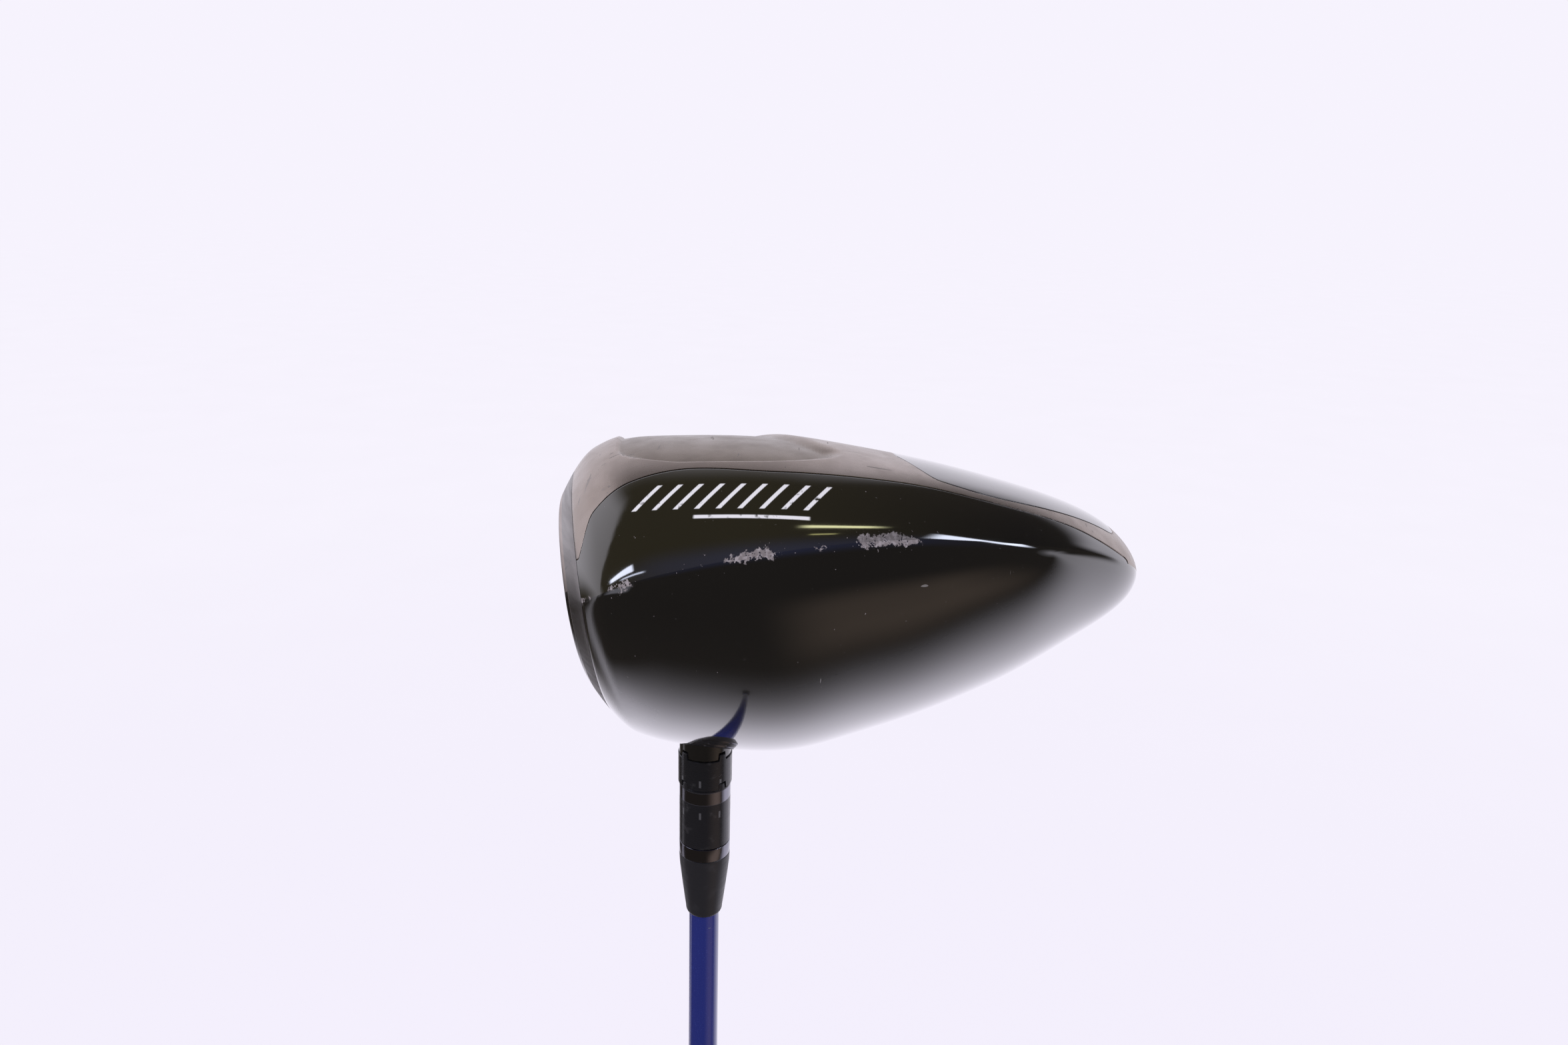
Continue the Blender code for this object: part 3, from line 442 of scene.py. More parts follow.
class Shader:
    """A Principled material and short ways to wire detail into it."""

    def __init__(self, name, colour, roughness, metallic=0.0, **sockets):
        self.material = bpy.data.materials.new(name)
        self.material.use_nodes = True
        self.tree = self.material.node_tree
        self.shader = self.tree.nodes["Principled BSDF"]
        self.set("Base Color", (*colour, 1.0))
        self.set("Roughness", roughness)
        self.set("Metallic", metallic)
        for socket, value in sockets.items():
            self.set(socket.replace("_", " "), value)
        self.colour = (*colour, 1.0)
        self.height = None

    def set(self, socket, value):
        if isinstance(value, bpy.types.NodeSocket):
            self.tree.links.new(value, self.shader.inputs[socket])
        else:
            self.shader.inputs[socket].default_value = value

    def node(self, kind, inputs=(), **settings):
        node = self.tree.nodes.new(kind)
        for key, value in settings.items():
            setattr(node, key, value)
        for key, value in dict(inputs).items():
            if isinstance(value, bpy.types.NodeSocket):
                self.tree.links.new(value, node.inputs[key])
            else:
                node.inputs[key].default_value = value
        return node

    def math(self, operation, first, second):
        return self.node("ShaderNodeMath", {0: first, 1: second}, operation=operation).outputs[0]

    def times(self, first, second):
        return self.math("MULTIPLY", first, second)

    def place(self, stretch=(1, 1, 1)):
        coordinates = self.node("ShaderNodeTexCoord").outputs["Object"]
        return self.node("ShaderNodeMapping", {"Vector": coordinates, "Scale": stretch}).outputs[0]

    def noise(self, scale, detail=4.0, stretch=(1, 1, 1), roughness=0.55):
        return self.node("ShaderNodeTexNoise", {"Vector": self.place(stretch), "Scale": scale, "Detail": detail,
                                                "Roughness": roughness}).outputs["Fac"]

    def ramp(self, value, low, high, start=0.0, end=1.0):
        return self.node("ShaderNodeMapRange", {"Value": value, "From Min": low, "From Max": high, "To Min": start,
                                                "To Max": end}).outputs["Result"]

    def window(self, value, low, high, soft):
        rise = self.ramp(value, low - soft, low + soft)
        fall = self.ramp(value, high - soft, high + soft, 1.0, 0.0)
        return self.times(rise, fall)

    def design(self):
        attribute = self.node("ShaderNodeAttribute", attribute_name="design").outputs["Vector"]
        return self.node("ShaderNodeSeparateXYZ", {"Vector": attribute}).outputs

    def paint(self, mask, colour):
        """Mixes a colour over the base colour where the mask is 1."""
        linked = self.shader.inputs["Base Color"].links
        base = linked[0].from_socket if linked else self.colour
        mixed = self.node("ShaderNodeMix", {0: mask, 6: base, 7: (*colour, 1.0)}, data_type="RGBA")
        self.set("Base Color", mixed.outputs[2])

    def vary(self, socket, mask, value):
        """Mixes a number into a socket where the mask is 1."""
        target = self.shader.inputs[socket]
        base = target.links[0].from_socket if target.links else target.default_value
        mixed = self.node("ShaderNodeMix", {0: mask, 2: base, 3: value}, data_type="FLOAT")
        self.set(socket, mixed.outputs[0])

    def bump(self, height, distance, strength=1.0):
        inputs = {"Height": height, "Distance": distance, "Strength": strength}
        if self.height:
            inputs["Normal"] = self.height
        self.height = self.node("ShaderNodeBump", inputs).outputs["Normal"]
        self.set("Normal", self.height)

    def scratches(self, level, colour, roughness, scale=90.0):
        """Sparse short scratches in two directions, where the noise rises over a level."""
        masks = []
        for stretch in ((0.10, 2.2, 2.2), (3.0, 0.35, 0.25)):
            masks.append(self.ramp(self.noise(scale, 1.0, stretch, 0.4), level, level + 0.012))
        specks = self.ramp(self.noise(SPECK_SCALE, 2.0), 0.775, 0.785)
        mask = self.math("MAXIMUM", self.math("MAXIMUM", *masks), specks)
        self.paint(self.times(mask, 0.6), colour)
        self.vary("Roughness", mask, roughness)


def casting_material(recessed=False):
    made = Shader("bronze_casting", (0.36, 0.30, 0.26), 0.3, 1.0)
    cloud = made.noise(45.0, 5.0)
    made.paint(made.ramp(cloud, 0.35, 0.7), (0.44, 0.38, 0.345))
    if recessed:
        floor = made.design()[2]
        made.paint(made.times(floor, 0.85), (0.185, 0.148, 0.115))
    made.set("Roughness", made.ramp(made.noise(240.0, 6.0), 0.3, 0.7, 0.22, 0.33))
    made.scratches(0.755, (0.5, 0.47, 0.45), 0.5, 420.0)
    made.bump(made.noise(5200.0, 2.0), 0.00002, 0.35)
    return made.material


def add_chips(made, reach):
    """Chipped paint that shows grey primer near the skirt's edge, in the chip zones."""
    design = made.design()
    density = None
    for low, high, share in CHIP_ZONES:
        part = made.times(made.window(design[0], low, high, 3.0), share)
        density = part if density is None else made.math("MAXIMUM", density, part)
    near = made.times(made.ramp(design[1], 0.0, reach, 1.0, 0.0), density)
    ragged = made.noise(420.0, 7.0, roughness=0.72)
    level = made.math("ADD", ragged, made.times(near, 0.40))
    mask = made.times(made.ramp(level, 0.765, 0.785), made.ramp(made.noise(1700.0, 2.0), 0.36, 0.42))
    crumbs = made.math("ADD", made.noise(1300.0, 3.0), made.times(near, 0.2))
    mask = made.math("MAXIMUM", mask, made.ramp(crumbs, 0.76, 0.775))
    made.paint(mask, (0.20, 0.175, 0.175))
    made.paint(made.times(mask, made.ramp(made.noise(1500.0, 3.0), 0.45, 0.62)), (0.34, 0.31, 0.32))
    made.vary("Roughness", mask, 0.55)
    made.vary("Coat Weight", mask, 0.0)
    made.bump(mask, 0.00012, -0.6)


def gloss_material(name, colour, roughness, chip_reach):
    made = Shader(name, colour, roughness, 0.0, Coat_Weight=1.0, Coat_Roughness=0.03, IOR=1.5)
    smear = made.ramp(made.noise(38.0, 5.0, (1.0, 0.5, 1.0)), 0.45, 0.8)
    made.vary("Roughness", smear, roughness + 0.12)
    made.scratches(0.81, (0.26, 0.25, 0.245), 0.4, 340.0)
    made.bump(made.noise(900.0, 2.0), 0.000006, 0.25)
    if chip_reach:
        add_chips(made, chip_reach)
    return made


def crown_material():
    return gloss_material("gloss_black_crown", GLOSS_BLACK, 0.05, 2.6).material


def toe_material():
    """Olive-tinted gloss black with a plain white mark of slanted bars."""
    made = gloss_material("gloss_olive_black", (0.0175, 0.0155, 0.0085), 0.06, 2.8)
    height = made.design()[2]
    along = made.times(made.node("ShaderNodeSeparateXYZ", {0: made.place()}).outputs[0], 1000.0)
    slanted = made.math("ADD", along, made.times(height, BAR_SLANT))
    level = made.window(height, *BAR_HEIGHTS, MARK_SOFTNESS)
    repeat = made.math("MODULO", made.math("ADD", slanted, 100.0), BAR_PITCH)
    bars = made.times(made.window(repeat, *BAR_EDGES, MARK_SOFTNESS), made.window(slanted, *BAR_SPAN, 0.1))
    bars = made.times(bars, level)
    line = made.times(made.window(height, *LINE_HEIGHTS, MARK_SOFTNESS), made.window(along, *LINE_SPAN, 0.2))
    made.paint(made.ramp(along, 18.0, 62.0), (0.0055, 0.0055, 0.0055))
    worn = made.ramp(made.noise(700.0, 4.0), 0.30, 0.42)
    mark = made.times(made.math("MAXIMUM", bars, line), worn)
    made.paint(mark, (0.80, 0.80, 0.82))
    made.vary("Roughness", mark, 0.32)
    made.bump(mark, 0.00003, 0.5)
    return made.material


def rear_panel_material():
    made = gloss_material("gloss_grey_black", (0.032, 0.030, 0.030), 0.12, 0.0)
    weave = made.node("ShaderNodeTexChecker", {"Vector": made.place(), "Scale": 520.0}).outputs["Fac"]
    made.paint(made.times(weave, 0.35), (0.052, 0.050, 0.050))
    return made.material


def face_material():
    made = Shader("face_dark_satin", (0.27, 0.255, 0.25), 0.34, 1.0)
    grain = made.noise(900.0, 3.0, (0.3, 0.05, 1.0))
    made.set("Roughness", made.ramp(grain, 0.3, 0.7, 0.28, 0.42))
    made.paint(made.ramp(made.noise(30.0, 4.0), 0.45, 0.75), (0.32, 0.305, 0.30))
    made.scratches(0.75, (0.3, 0.3, 0.3), 0.45, 380.0)
    design = made.design()
    rim = made.ramp(design[1], 1.2, 1.5, 1.0, 0.0)
    made.paint(rim, (0.42, 0.36, 0.33))
    painted = made.times(rim, made.ramp(design[2], 39.8, 40.2))
    made.paint(painted, GLOSS_BLACK)
    made.vary("Metallic", painted, 0.0)
    made.vary("Roughness", painted, 0.06)
    made.bump(grain, 0.00002, 0.4)
    return made.material


def score_material():
    made = Shader("score_line_paint", (0.42, 0.42, 0.43), 0.5)
    made.paint(made.ramp(made.noise(500.0, 4.0), 0.5, 0.7), (0.22, 0.22, 0.22))
    made.set("Roughness", made.ramp(made.noise(300.0), 0.3, 0.7, 0.4, 0.6))
    made.bump(made.noise(2500.0), 0.00002, 0.4)
    return made.material


def anodised_material(name, colour, roughness, marks, lip=None):
    """Anodised metal with fine lathe lines, short index marks if it is a setting ring, and a brighter lip."""
    made = Shader(name, colour, roughness, 0.55, Coat_Weight=0.35, Coat_Roughness=0.12)
    lines = made.noise(2600.0, 2.0, (0.02, 0.02, 1.0))
    made.set("Roughness", made.ramp(lines, 0.3, 0.7, roughness - 0.05, roughness + 0.09))
    made.scratches(0.77, (0.10, 0.10, 0.11), 0.5, 420.0)
    rub = made.times(made.ramp(made.noise(300.0, 5.0), 0.58, 0.68), 0.6)
    made.paint(rub, (0.07, 0.07, 0.075))
    if marks:
        design = made.design()
        slot = made.math("MODULO", made.math("ADD", design[2], 0.3), math.pi / 4)
        tick = made.window(slot, 0.16, 0.24, 0.012)
        low, high = marks
        mask = made.times(tick, made.window(design[1], CLUB_LENGTH - high, CLUB_LENGTH - low, 0.0001))
        made.paint(mask, (0.16, 0.16, 0.17))
        made.vary("Roughness", mask, 0.5)
    if lip:
        low, high = lip
        mask = made.window(made.design()[1], CLUB_LENGTH - high, CLUB_LENGTH - low, 0.0001)
        made.paint(mask, (0.26, 0.26, 0.31))
        made.vary("Metallic", mask, 1.0)
        made.vary("Roughness", mask, 0.13)
    made.bump(lines, 0.00001, 0.3)
    return made.material


def ferrule_material():
    made = Shader("ferrule_satin_black", (0.018, 0.018, 0.021), 0.34)
    made.set("Roughness", made.ramp(made.noise(1500.0, 3.0, (0.03, 0.03, 1.0)), 0.3, 0.7, 0.28, 0.44))
    made.paint(made.times(made.ramp(made.noise(160.0, 5.0), 0.55, 0.75), 0.6), (0.04, 0.04, 0.045))
    made.bump(made.noise(1700.0, 2.0, (0.03, 0.03, 1.0)), 0.00001, 0.35)
    return made.material


def shaft_material():
    """Blue lacquer with faint depth in its colour, and two plain silver rings near the grip."""
    made = Shader("blue_lacquer", (0.013, 0.021, 0.150), 0.16, 0.0, Coat_Weight=1.0, Coat_Roughness=0.04)
    made.paint(made.ramp(made.noise(60.0, 4.0, (1.0, 1.0, 0.05)), 0.4, 0.75), (0.019, 0.030, 0.185))
    made.paint(made.times(made.ramp(made.noise(3800.0, 1.0), 0.62, 0.72), 0.4), (0.05, 0.07, 0.30))
    away = made.design()[1]
    rings = made.math("MAXIMUM", *(made.window(away, *span, 0.0001) for span in SILVER_RINGS))
    made.paint(rings, (0.55, 0.56, 0.60))
    made.vary("Roughness", rings, 0.3)
    made.scratches(0.775, (0.10, 0.12, 0.24), 0.35, 300.0)
    made.bump(made.noise(700.0, 2.0), 0.000008, 0.3)
    return made.material


def rubber_material(name, colour, roughness):
    made = Shader(name, colour, roughness)
    made.paint(made.ramp(made.noise(55.0, 5.0), 0.4, 0.75), tuple(value * 1.7 for value in colour))
    made.set("Roughness", made.ramp(made.noise(240.0, 4.0), 0.3, 0.7, roughness - 0.12, roughness + 0.1))
    made.bump(made.noise(1800.0, 4.0), 0.00008, 0.5)
    return made.material


def steel_material(name, colour, roughness):
    made = Shader(name, colour, roughness, 1.0)
    lines = made.noise(1900.0, 3.0, (1.0, 0.15, 0.15))
    made.set("Roughness", made.ramp(lines, 0.3, 0.7, roughness - 0.06, roughness + 0.1))
    made.paint(made.ramp(made.noise(90.0, 5.0), 0.5, 0.8), tuple(value * 0.7 for value in colour))
    made.bump(lines, 0.000015, 0.4)
    return made.material


def tape_material():
    made = Shader("paper_tape", (0.62, 0.58, 0.47), 0.8)
    made.paint(made.ramp(made.noise(300.0, 5.0), 0.4, 0.7), (0.72, 0.68, 0.57))
    made.bump(made.noise(2200.0, 3.0, (1, 1, 0.3)), 0.00005, 0.5)
    return made.material


# ---------------------------------------------------------------- head pieces

def finish_piece(thing, material, body, slot, *nodes):
    thing.data.materials.clear()
    thing.data.materials.append(material)
    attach(thing, body)
    if nodes:
        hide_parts(*nodes)


def row_positions(start, end, count, extra=()):
    """Section positions phi, close together at the face's edge and round each extra share."""
    values = list(np.linspace(math.asin(start), math.asin(end), count))
    values += list(np.linspace(math.asin(start), math.asin(FACE_EDGE_SHARE), 10))
    for share in extra:
        centre = math.asin(share)
        values += [centre + offset for offset in np.linspace(-0.02, 0.02, 9)]
    return sorted({round(float(value), 5) for value in values if math.asin(start) <= value <= math.asin(end) + 1e-9})


def crown_skin(hosel_cutter):
    columns = 150
    turns = np.linspace(0, math.pi, columns)
    outer, inner, design = [], [], []
    for phi in row_positions(SHELL_START, 1.0, 130):
        skin = head_row(phi, turns)
        arc = arc_lengths(skin)
        side = np.minimum(arc, arc[-1] - arc)
        outer.append(skin)
        inner.append(head_row(phi, turns, WALL))
        run = np.interp(phi, DEPTH_PHIS, DEPTH_RUN) / MM
        away = np.where(turns < math.pi / 2, side / MM, side / MM + CHIP_FREE)
        design.append(np.stack((np.full(columns, run), away, turns), axis=-1))
    thing = plate("crown_skin", outer, inner, design, 50)
    cut(thing, hosel_cutter)
    finish_piece(thing, crown_material(), "head", "crown", "crown_shell")


def panel_borders(phi, arc, below):
    """Arc positions at which the toe panel ends, and the sole's pockets begin and end, in one section."""
    return [float(np.interp(edge_angle(table, phi), below, arc))
            for table in (TOE_PANEL_EDGE, SOLE_PANEL_EDGE, HEEL_PANEL_EDGE)]


def body_columns(toe, sole, heel, end):
    """Arc positions of one section's points, close together at the borders of the panels and the recess."""
    border = np.linspace(-0.3, 0.3, 7) * MM
    places = (
        np.linspace(0, toe - 0.4 * MM, 26), toe + border,
        np.linspace(toe + 0.4 * MM, max(sole - 0.4 * MM, toe + 0.5 * MM), 12),
        sole + border, sole + np.linspace(0.5, 3.5, 8) * MM,
        np.linspace(sole + 4 * MM, heel - 4 * MM, 90),
        heel + np.linspace(-3.5, 3.5, 18) * MM, np.linspace(heel + 4 * MM, end, 46),
    )
    return np.maximum.accumulate(np.clip(np.concatenate(places), 0.0, end))


def body_skin(cutters):
    """The casting's sole and skirt, with a soft-walled recess in front and pockets under the two panels."""
    fine = np.linspace(0, math.pi, 400)
    outer, inner, design = [], [], []
    spans = FRONT_RECESS_SPAN + REAR_PANEL_SPAN + TOE_PANEL_SPAN
    wall_rows = tuple(np.linspace(RECESS_TIP[2] - 0.02, FRONT_RECESS_SPAN[1] + 0.01, 12))
    for phi in row_positions(SHELL_START, 1.0, 170, spans + wall_rows):
        arc = arc_lengths(sole_row(phi, fine))
        toe, sole, heel = panel_borders(phi, arc, fine)
        arcs = body_columns(toe, sole, heel, arc[-1])
        below = np.interp(arcs, arc, fine)
        slant = np.clip((below - RECESS_TIP[0]) / (RECESS_TIP[1] - RECESS_TIP[0]), 0.0, 1.0) ** 0.8
        tip = FRONT_RECESS_SPAN[1] + (RECESS_TIP[2] - FRONT_RECESS_SPAN[1]) * slant
        last = np.interp(np.arcsin(tip), DEPTH_PHIS, DEPTH_RUN)
        recess = pocket_distance(phi, arcs, sole, heel, depth_run(FRONT_RECESS_SPAN[0]), last, RECESS_CORNER,
                                 REAR_WALL_SLOPE)
        rear = pocket_distance(phi, arcs, sole, heel, *map(depth_run, REAR_PANEL_SPAN), PANEL_CORNER)
        front = pocket_distance(phi, arcs, -9 * MM, toe, -9 * MM, depth_run(TOE_PANEL_SPAN[1]), PANEL_CORNER)
        floor = 1 - fade(recess, -RECESS_RAMP, 0.0)
        drop = RECESS_DEPTH * floor
        drop += PANEL_DEPTH * (1 - fade(rear, -0.05 * MM, 0.12 * MM))
        drop += PANEL_DEPTH * (1 - fade(front, -0.05 * MM, 0.12 * MM))
        outer.append(sole_row(phi, below, drop))
        inner.append(sole_row(phi, below, PANEL_DEPTH + SKIN_LAP))
        run = np.interp(phi, DEPTH_PHIS, DEPTH_RUN) / MM
        design.append(np.stack((np.full(len(arcs), run), arcs / MM, floor), axis=-1))
    thing = plate("body_skin", outer, inner, design, 60)
    for cutter in cutters:
        cut(thing, cutter)
    finish_piece(thing, casting_material(True), "head", "casting", "head_body")


def panel_skin(name, span, low_edge, high_edge, columns, material, slot, node, cutter=None):
    """A panel flush with the skin, rounded at its corners and along its edges."""
    fine = np.linspace(0, math.pi, 400)
    open_front = low_edge is None
    first, last = depth_run(span[0]) + PANEL_GAP * (not open_front), depth_run(span[1]) - PANEL_GAP
    runs = first + (last - first) * (1 - np.cos(np.linspace(0, math.pi, 120))) / 2
    outer, inner, design = [], [], []
    for run in runs:
        phi = float(np.interp(run, DEPTH_RUN, DEPTH_PHIS))
        arc = arc_lengths(sole_row(phi, fine))
        end = last - run if open_front else min(run - first, last - run)
        trim = float(rounded_drop(end, PANEL_CORNER)) + PANEL_GAP
        low = 0.0 if open_front else float(np.interp(edge_angle(low_edge, phi), fine, arc)) + trim
        high = float(np.interp(edge_angle(high_edge, phi), fine, arc)) - trim
        high = max(high, low + 0.05 * MM)
        arcs = low + (high - low) * (1 - np.cos(np.linspace(0, math.pi, columns))) / 2
        below = np.interp(arcs, arc, fine)
        away = np.minimum(high - arcs if open_front else np.minimum(arcs - low, high - arcs), end)
        outer.append(sole_row(phi, below, rounded_drop(away, PANEL_ROUND)))
        inner.append(sole_row(phi, below, PANEL_DEPTH - 0.05 * MM))
        design.append(np.stack((np.full(columns, run / MM), arcs / MM, outer[-1][:, 2] / MM), axis=-1))
    thing = plate(name, outer, inner, design, 55)
    if cutter:
        cut(thing, cutter)
    finish_piece(thing, material, "head", slot, node)


def face_skin():
    """The cup face: bulged front, rounded edge and parallel back, in the row frame."""
    turns = full_turn(220)
    edge_share = FACE_THICKNESS / HEAD_DEPTH

    def scaled(points, share, offset):
        y = HEAD_Y + (points[:, 1] - HEAD_Y) * share
        z = FACE_Z + (points[:, 2] - FACE_Z) * share
        return np.stack((FACE_X + offset + face_offset(y, z), y, z), axis=-1)

    outline = head_row(0.0, turns)
    rear = head_row(math.asin(edge_share), turns)
    rings = [scaled(rear, share, FACE_THICKNESS) for share in (0.02, 0.4, 0.8, 0.97)]
    rings += [head_row(math.asin(edge_share * k), turns, PANEL_ROUND * (k == 1.0)) for k in (1.0, 0.9, 0.7, 0.5, 0.3)]
    rings += [head_row(math.asin(edge_share * k), turns) for k in (0.15, 0.05)]
    for share in (0.995, 0.985, 0.97):
        rings.append(scaled(outline, share, 0.0))
    rings += [scaled(outline, share, 0.0) for share in np.linspace(0.94, 0.02, 30)]
    design = []
    for ring in rings:
        rim = np.linalg.norm((ring - outline)[:, 1:], axis=1) / MM
        design.append(np.stack((np.zeros(len(ring)), rim, ring[:, 2] / MM), axis=-1))
    thing = ring_loft("face_skin", placed(np.array(rings), TO_ROW), design=design, sharp=30)
    finish_piece(thing, face_material(), "head", "face", "face_plate")


def score_lines():
    """Thin painted lines that lie on the face, with a clear hitting area in the middle."""
    half, proud, steps = 0.33 * MM, 0.03 * MM, 24
    outline = head_row(0.0, full_turn(720))
    points, faces = [], []
    for k in range(-3, 4):
        height = FACE_Z + k * SCORE_LINE_PITCH
        level = outline[np.abs(outline[:, 2] - height) < 0.6 * MM, 1]
        for low, high in ((SCORE_LINE_REACH * (level.min() - HEAD_Y), -CLEAR_HALF_WIDTH),
                          (CLEAR_HALF_WIDTH, SCORE_LINE_REACH * (level.max() - HEAD_Y))):
            start = len(points)
            for y in np.linspace(low, high, steps):
                for dz, lift in ((-half, -proud), (-half * 0.7, proud), (half * 0.7, proud), (half, -proud)):
                    z = height + dz
                    points.append((FACE_X + face_offset(HEAD_Y + y, z) - lift, HEAD_Y + y, z))
            faces += grid_faces(steps, 4, start)
            faces += [tuple(start + j for j in (0, 1, 2, 3)), tuple(start + (steps - 1) * 4 + j for j in (3, 2, 1, 0))]
            for corner in range(start, start + 4 * (steps - 1), 4):
                faces.append((corner, corner + 3, corner + 7, corner + 4))
    thing = mesh_object("score_lines", placed(np.array(points), TO_ROW), faces)
    finish_piece(thing, score_material(), "head", "face")


# ---------------------------------------------------------------- hosel, sleeve and screws

def castellated(name, bore, outer, low, high, tabs_low, notches_high):
    """A sleeve wall whose lower end has keys that stand out, and whose upper end has notches for the next piece's."""
    turns = full_turn(180)
    step = 2 * math.pi / KEY_COUNT
    from_key = np.abs((turns + step / 2 + math.pi / 4) % step - step / 2)

    def key(width):
        return (from_key * outer < width / 2).astype(float)

    low_line = low - tabs_low * key(KEY_WIDTH)
    high_line = high - notches_high * key(KEY_WIDTH + KEY_PLAY)
    bevel = 0.18 * MM
    stations = ((bore, low_line), (outer - bevel, low_line), (outer, low_line + bevel), (outer, None),
                (outer, high_line - bevel), (outer - bevel, high_line), (bore, high_line))
    rings, design = [], []
    for radius, line in stations:
        line = (low_line + high_line) / 2 if line is None else line
        line = np.broadcast_to(line, turns.shape)
        rings.append(hoop(radius, CLUB_LENGTH - line, turns))
        design.append(np.stack((radius * turns, CLUB_LENGTH - line, turns), axis=-1))
    return ring_loft(name, np.array(rings), True, design, 30)


def hosel_skin(envelope):
    """The neck above the crown, with its notched rim, and the liner that reaches the sole."""
    turns = full_turn(120)
    to_toe = (1 - np.sin(turns)) / 2
    rings = []
    for s, flare in ((34, 2.0), (38, 4.2), (41, 4.2), (44, 3.0), (47, 2.0), (50, 1.2), (54, 0.5), (60, 0.05)):
        rings.append(hoop(COLLAR_RADIUS + flare * MM * to_toe, CLUB_LENGTH - s * MM, turns))
    rings += [hoop(HOSEL_BORE, CLUB_LENGTH - s * MM, turns) for s in (60, 34)]
    fairing = ring_loft("hosel_fairing", np.array(rings), True, sharp=45)
    black = gloss_material("gloss_black_neck", GLOSS_BLACK, 0.08, 0.0).material
    finish_piece(fairing, black, "head", "crown")
    neck = castellated("hosel_neck", HOSEL_BORE, COLLAR_RADIUS, 60.05 * MM, HOSEL_TOP, 0.0, NOTCH_DEPTH)
    finish_piece(neck, black, "head", "crown")
    liner = [(WRENCH_BORE, -4 * MM), (LINER_RADIUS, -4 * MM), (LINER_RADIUS, 34 * MM), (HOSEL_BORE, 34 * MM),
             (HOSEL_BORE, HOSEL_WEB[1]), (SCREW_RADIUS + 0.3 * MM, HOSEL_WEB[1]),
             (SCREW_RADIUS + 0.3 * MM, HOSEL_WEB[0]), (WRENCH_BORE, HOSEL_WEB[0])]
    thing = shaft_turned("hosel_liner", liner, closed=True)
    cut(thing, envelope, "INTERSECT")
    finish_piece(thing, casting_material(), "head", "casting", "hosel_tube")


def torx_ring(radius, lobe, height):
    turns = full_turn(96)
    return hoop(radius + lobe * np.cos(6 * turns), height, turns)


def torx_screw(name, profile, top, radius, depth, matrix):
    """A turned screw whose head, at the profile's end, has a six-lobed socket."""
    rings = [torx_ring(reach, 0.0, height) for reach, height in profile]
    rings += [torx_ring(radius * 1.12, TORX_LOBE, top), torx_ring(radius, TORX_LOBE, top - 0.2 * MM)]
    rings += [torx_ring(radius, TORX_LOBE, top - depth), torx_ring(radius * 0.5, 0.0, top - depth - 0.5 * MM)]
    return ring_loft(name, placed(np.array(rings), matrix), sharp=30)


def threaded(radius, start, end):
    """Ridges of a plain thread, as profile points from one height to another."""
    count = int(abs(end - start) / THREAD_PITCH)
    points = []
    for k in range(count):
        height = start + (end - start) * k / count
        points += [(radius, height), (radius - THREAD_DEPTH, height + math.copysign(THREAD_PITCH / 2, end - start))]
    return points


def screws(seat_matrix):
    steel = steel_material("turned_steel", (0.36, 0.36, 0.37), 0.3)
    low = CLUB_LENGTH - (SLEEVE_TIP + 5.5 * MM)
    under = CLUB_LENGTH - (HOSEL_WEB[0] - 1.8 * MM)
    top = CLUB_LENGTH - (HOSEL_WEB[0] - 6.3 * MM)
    profile = [(0.5 * MM, low), (SCREW_RADIUS - 0.4 * MM, low)]
    profile += threaded(SCREW_RADIUS, low + 0.3 * MM, under - 1 * MM)
    profile += [(SCREW_RADIUS, under), (SCREW_HEAD_RADIUS, under), (SCREW_HEAD_RADIUS, top - 0.5 * MM),
                (SCREW_HEAD_RADIUS - 0.15 * MM, top - 0.15 * MM), (SCREW_HEAD_RADIUS - 0.5 * MM, top)]
    thing = torx_screw("hosel_screw_skin", profile, top, TORX_RADIUS, 3 * MM, Matrix())
    finish_piece(thing, steel, "hosel_screw", "steel", "hosel_screw")

    top = -0.6 * MM
    profile = [(0.5 * MM, -10.2 * MM), (3.0 * MM, -10.2 * MM)]
    profile += threaded(3.4 * MM, -9.8 * MM, -4.8 * MM)
    profile += [(3.4 * MM, -4.2 * MM), (WEIGHT_RADIUS, -4.2 * MM), (WEIGHT_RADIUS, top - 0.6 * MM),
                (WEIGHT_RADIUS - 0.18 * MM, top - 0.18 * MM), (WEIGHT_RADIUS - 0.6 * MM, top),
                (4.9 * MM, top), (4.7 * MM, top - 0.25 * MM), (4.4 * MM, top - 0.25 * MM), (4.2 * MM, top)]
    thing = torx_screw("weight_screw_skin", profile, top, TORX_RADIUS + 0.5 * MM, 2.6 * MM, seat_matrix)
    finish_piece(thing, steel, "weight_screw", "steel", "weight_screw")

    seat = [(WEIGHT_RADIUS + 0.25 * MM, -0.35 * MM), (WEIGHT_RADIUS + 0.6 * MM, -0.1 * MM),
            (SEAT_RADIUS - 0.5 * MM, -0.1 * MM), (SEAT_RADIUS, -0.5 * MM), (SEAT_RADIUS, -12 * MM),
            (3.7 * MM, -12 * MM), (3.7 * MM, -5.8 * MM), (WEIGHT_RADIUS + 0.25 * MM, -5.8 * MM)]
    thing = turned("weight_seat_skin", seat, seat_matrix, True)
    finish_piece(thing, casting_material(), "head", "casting", "weight_seat")


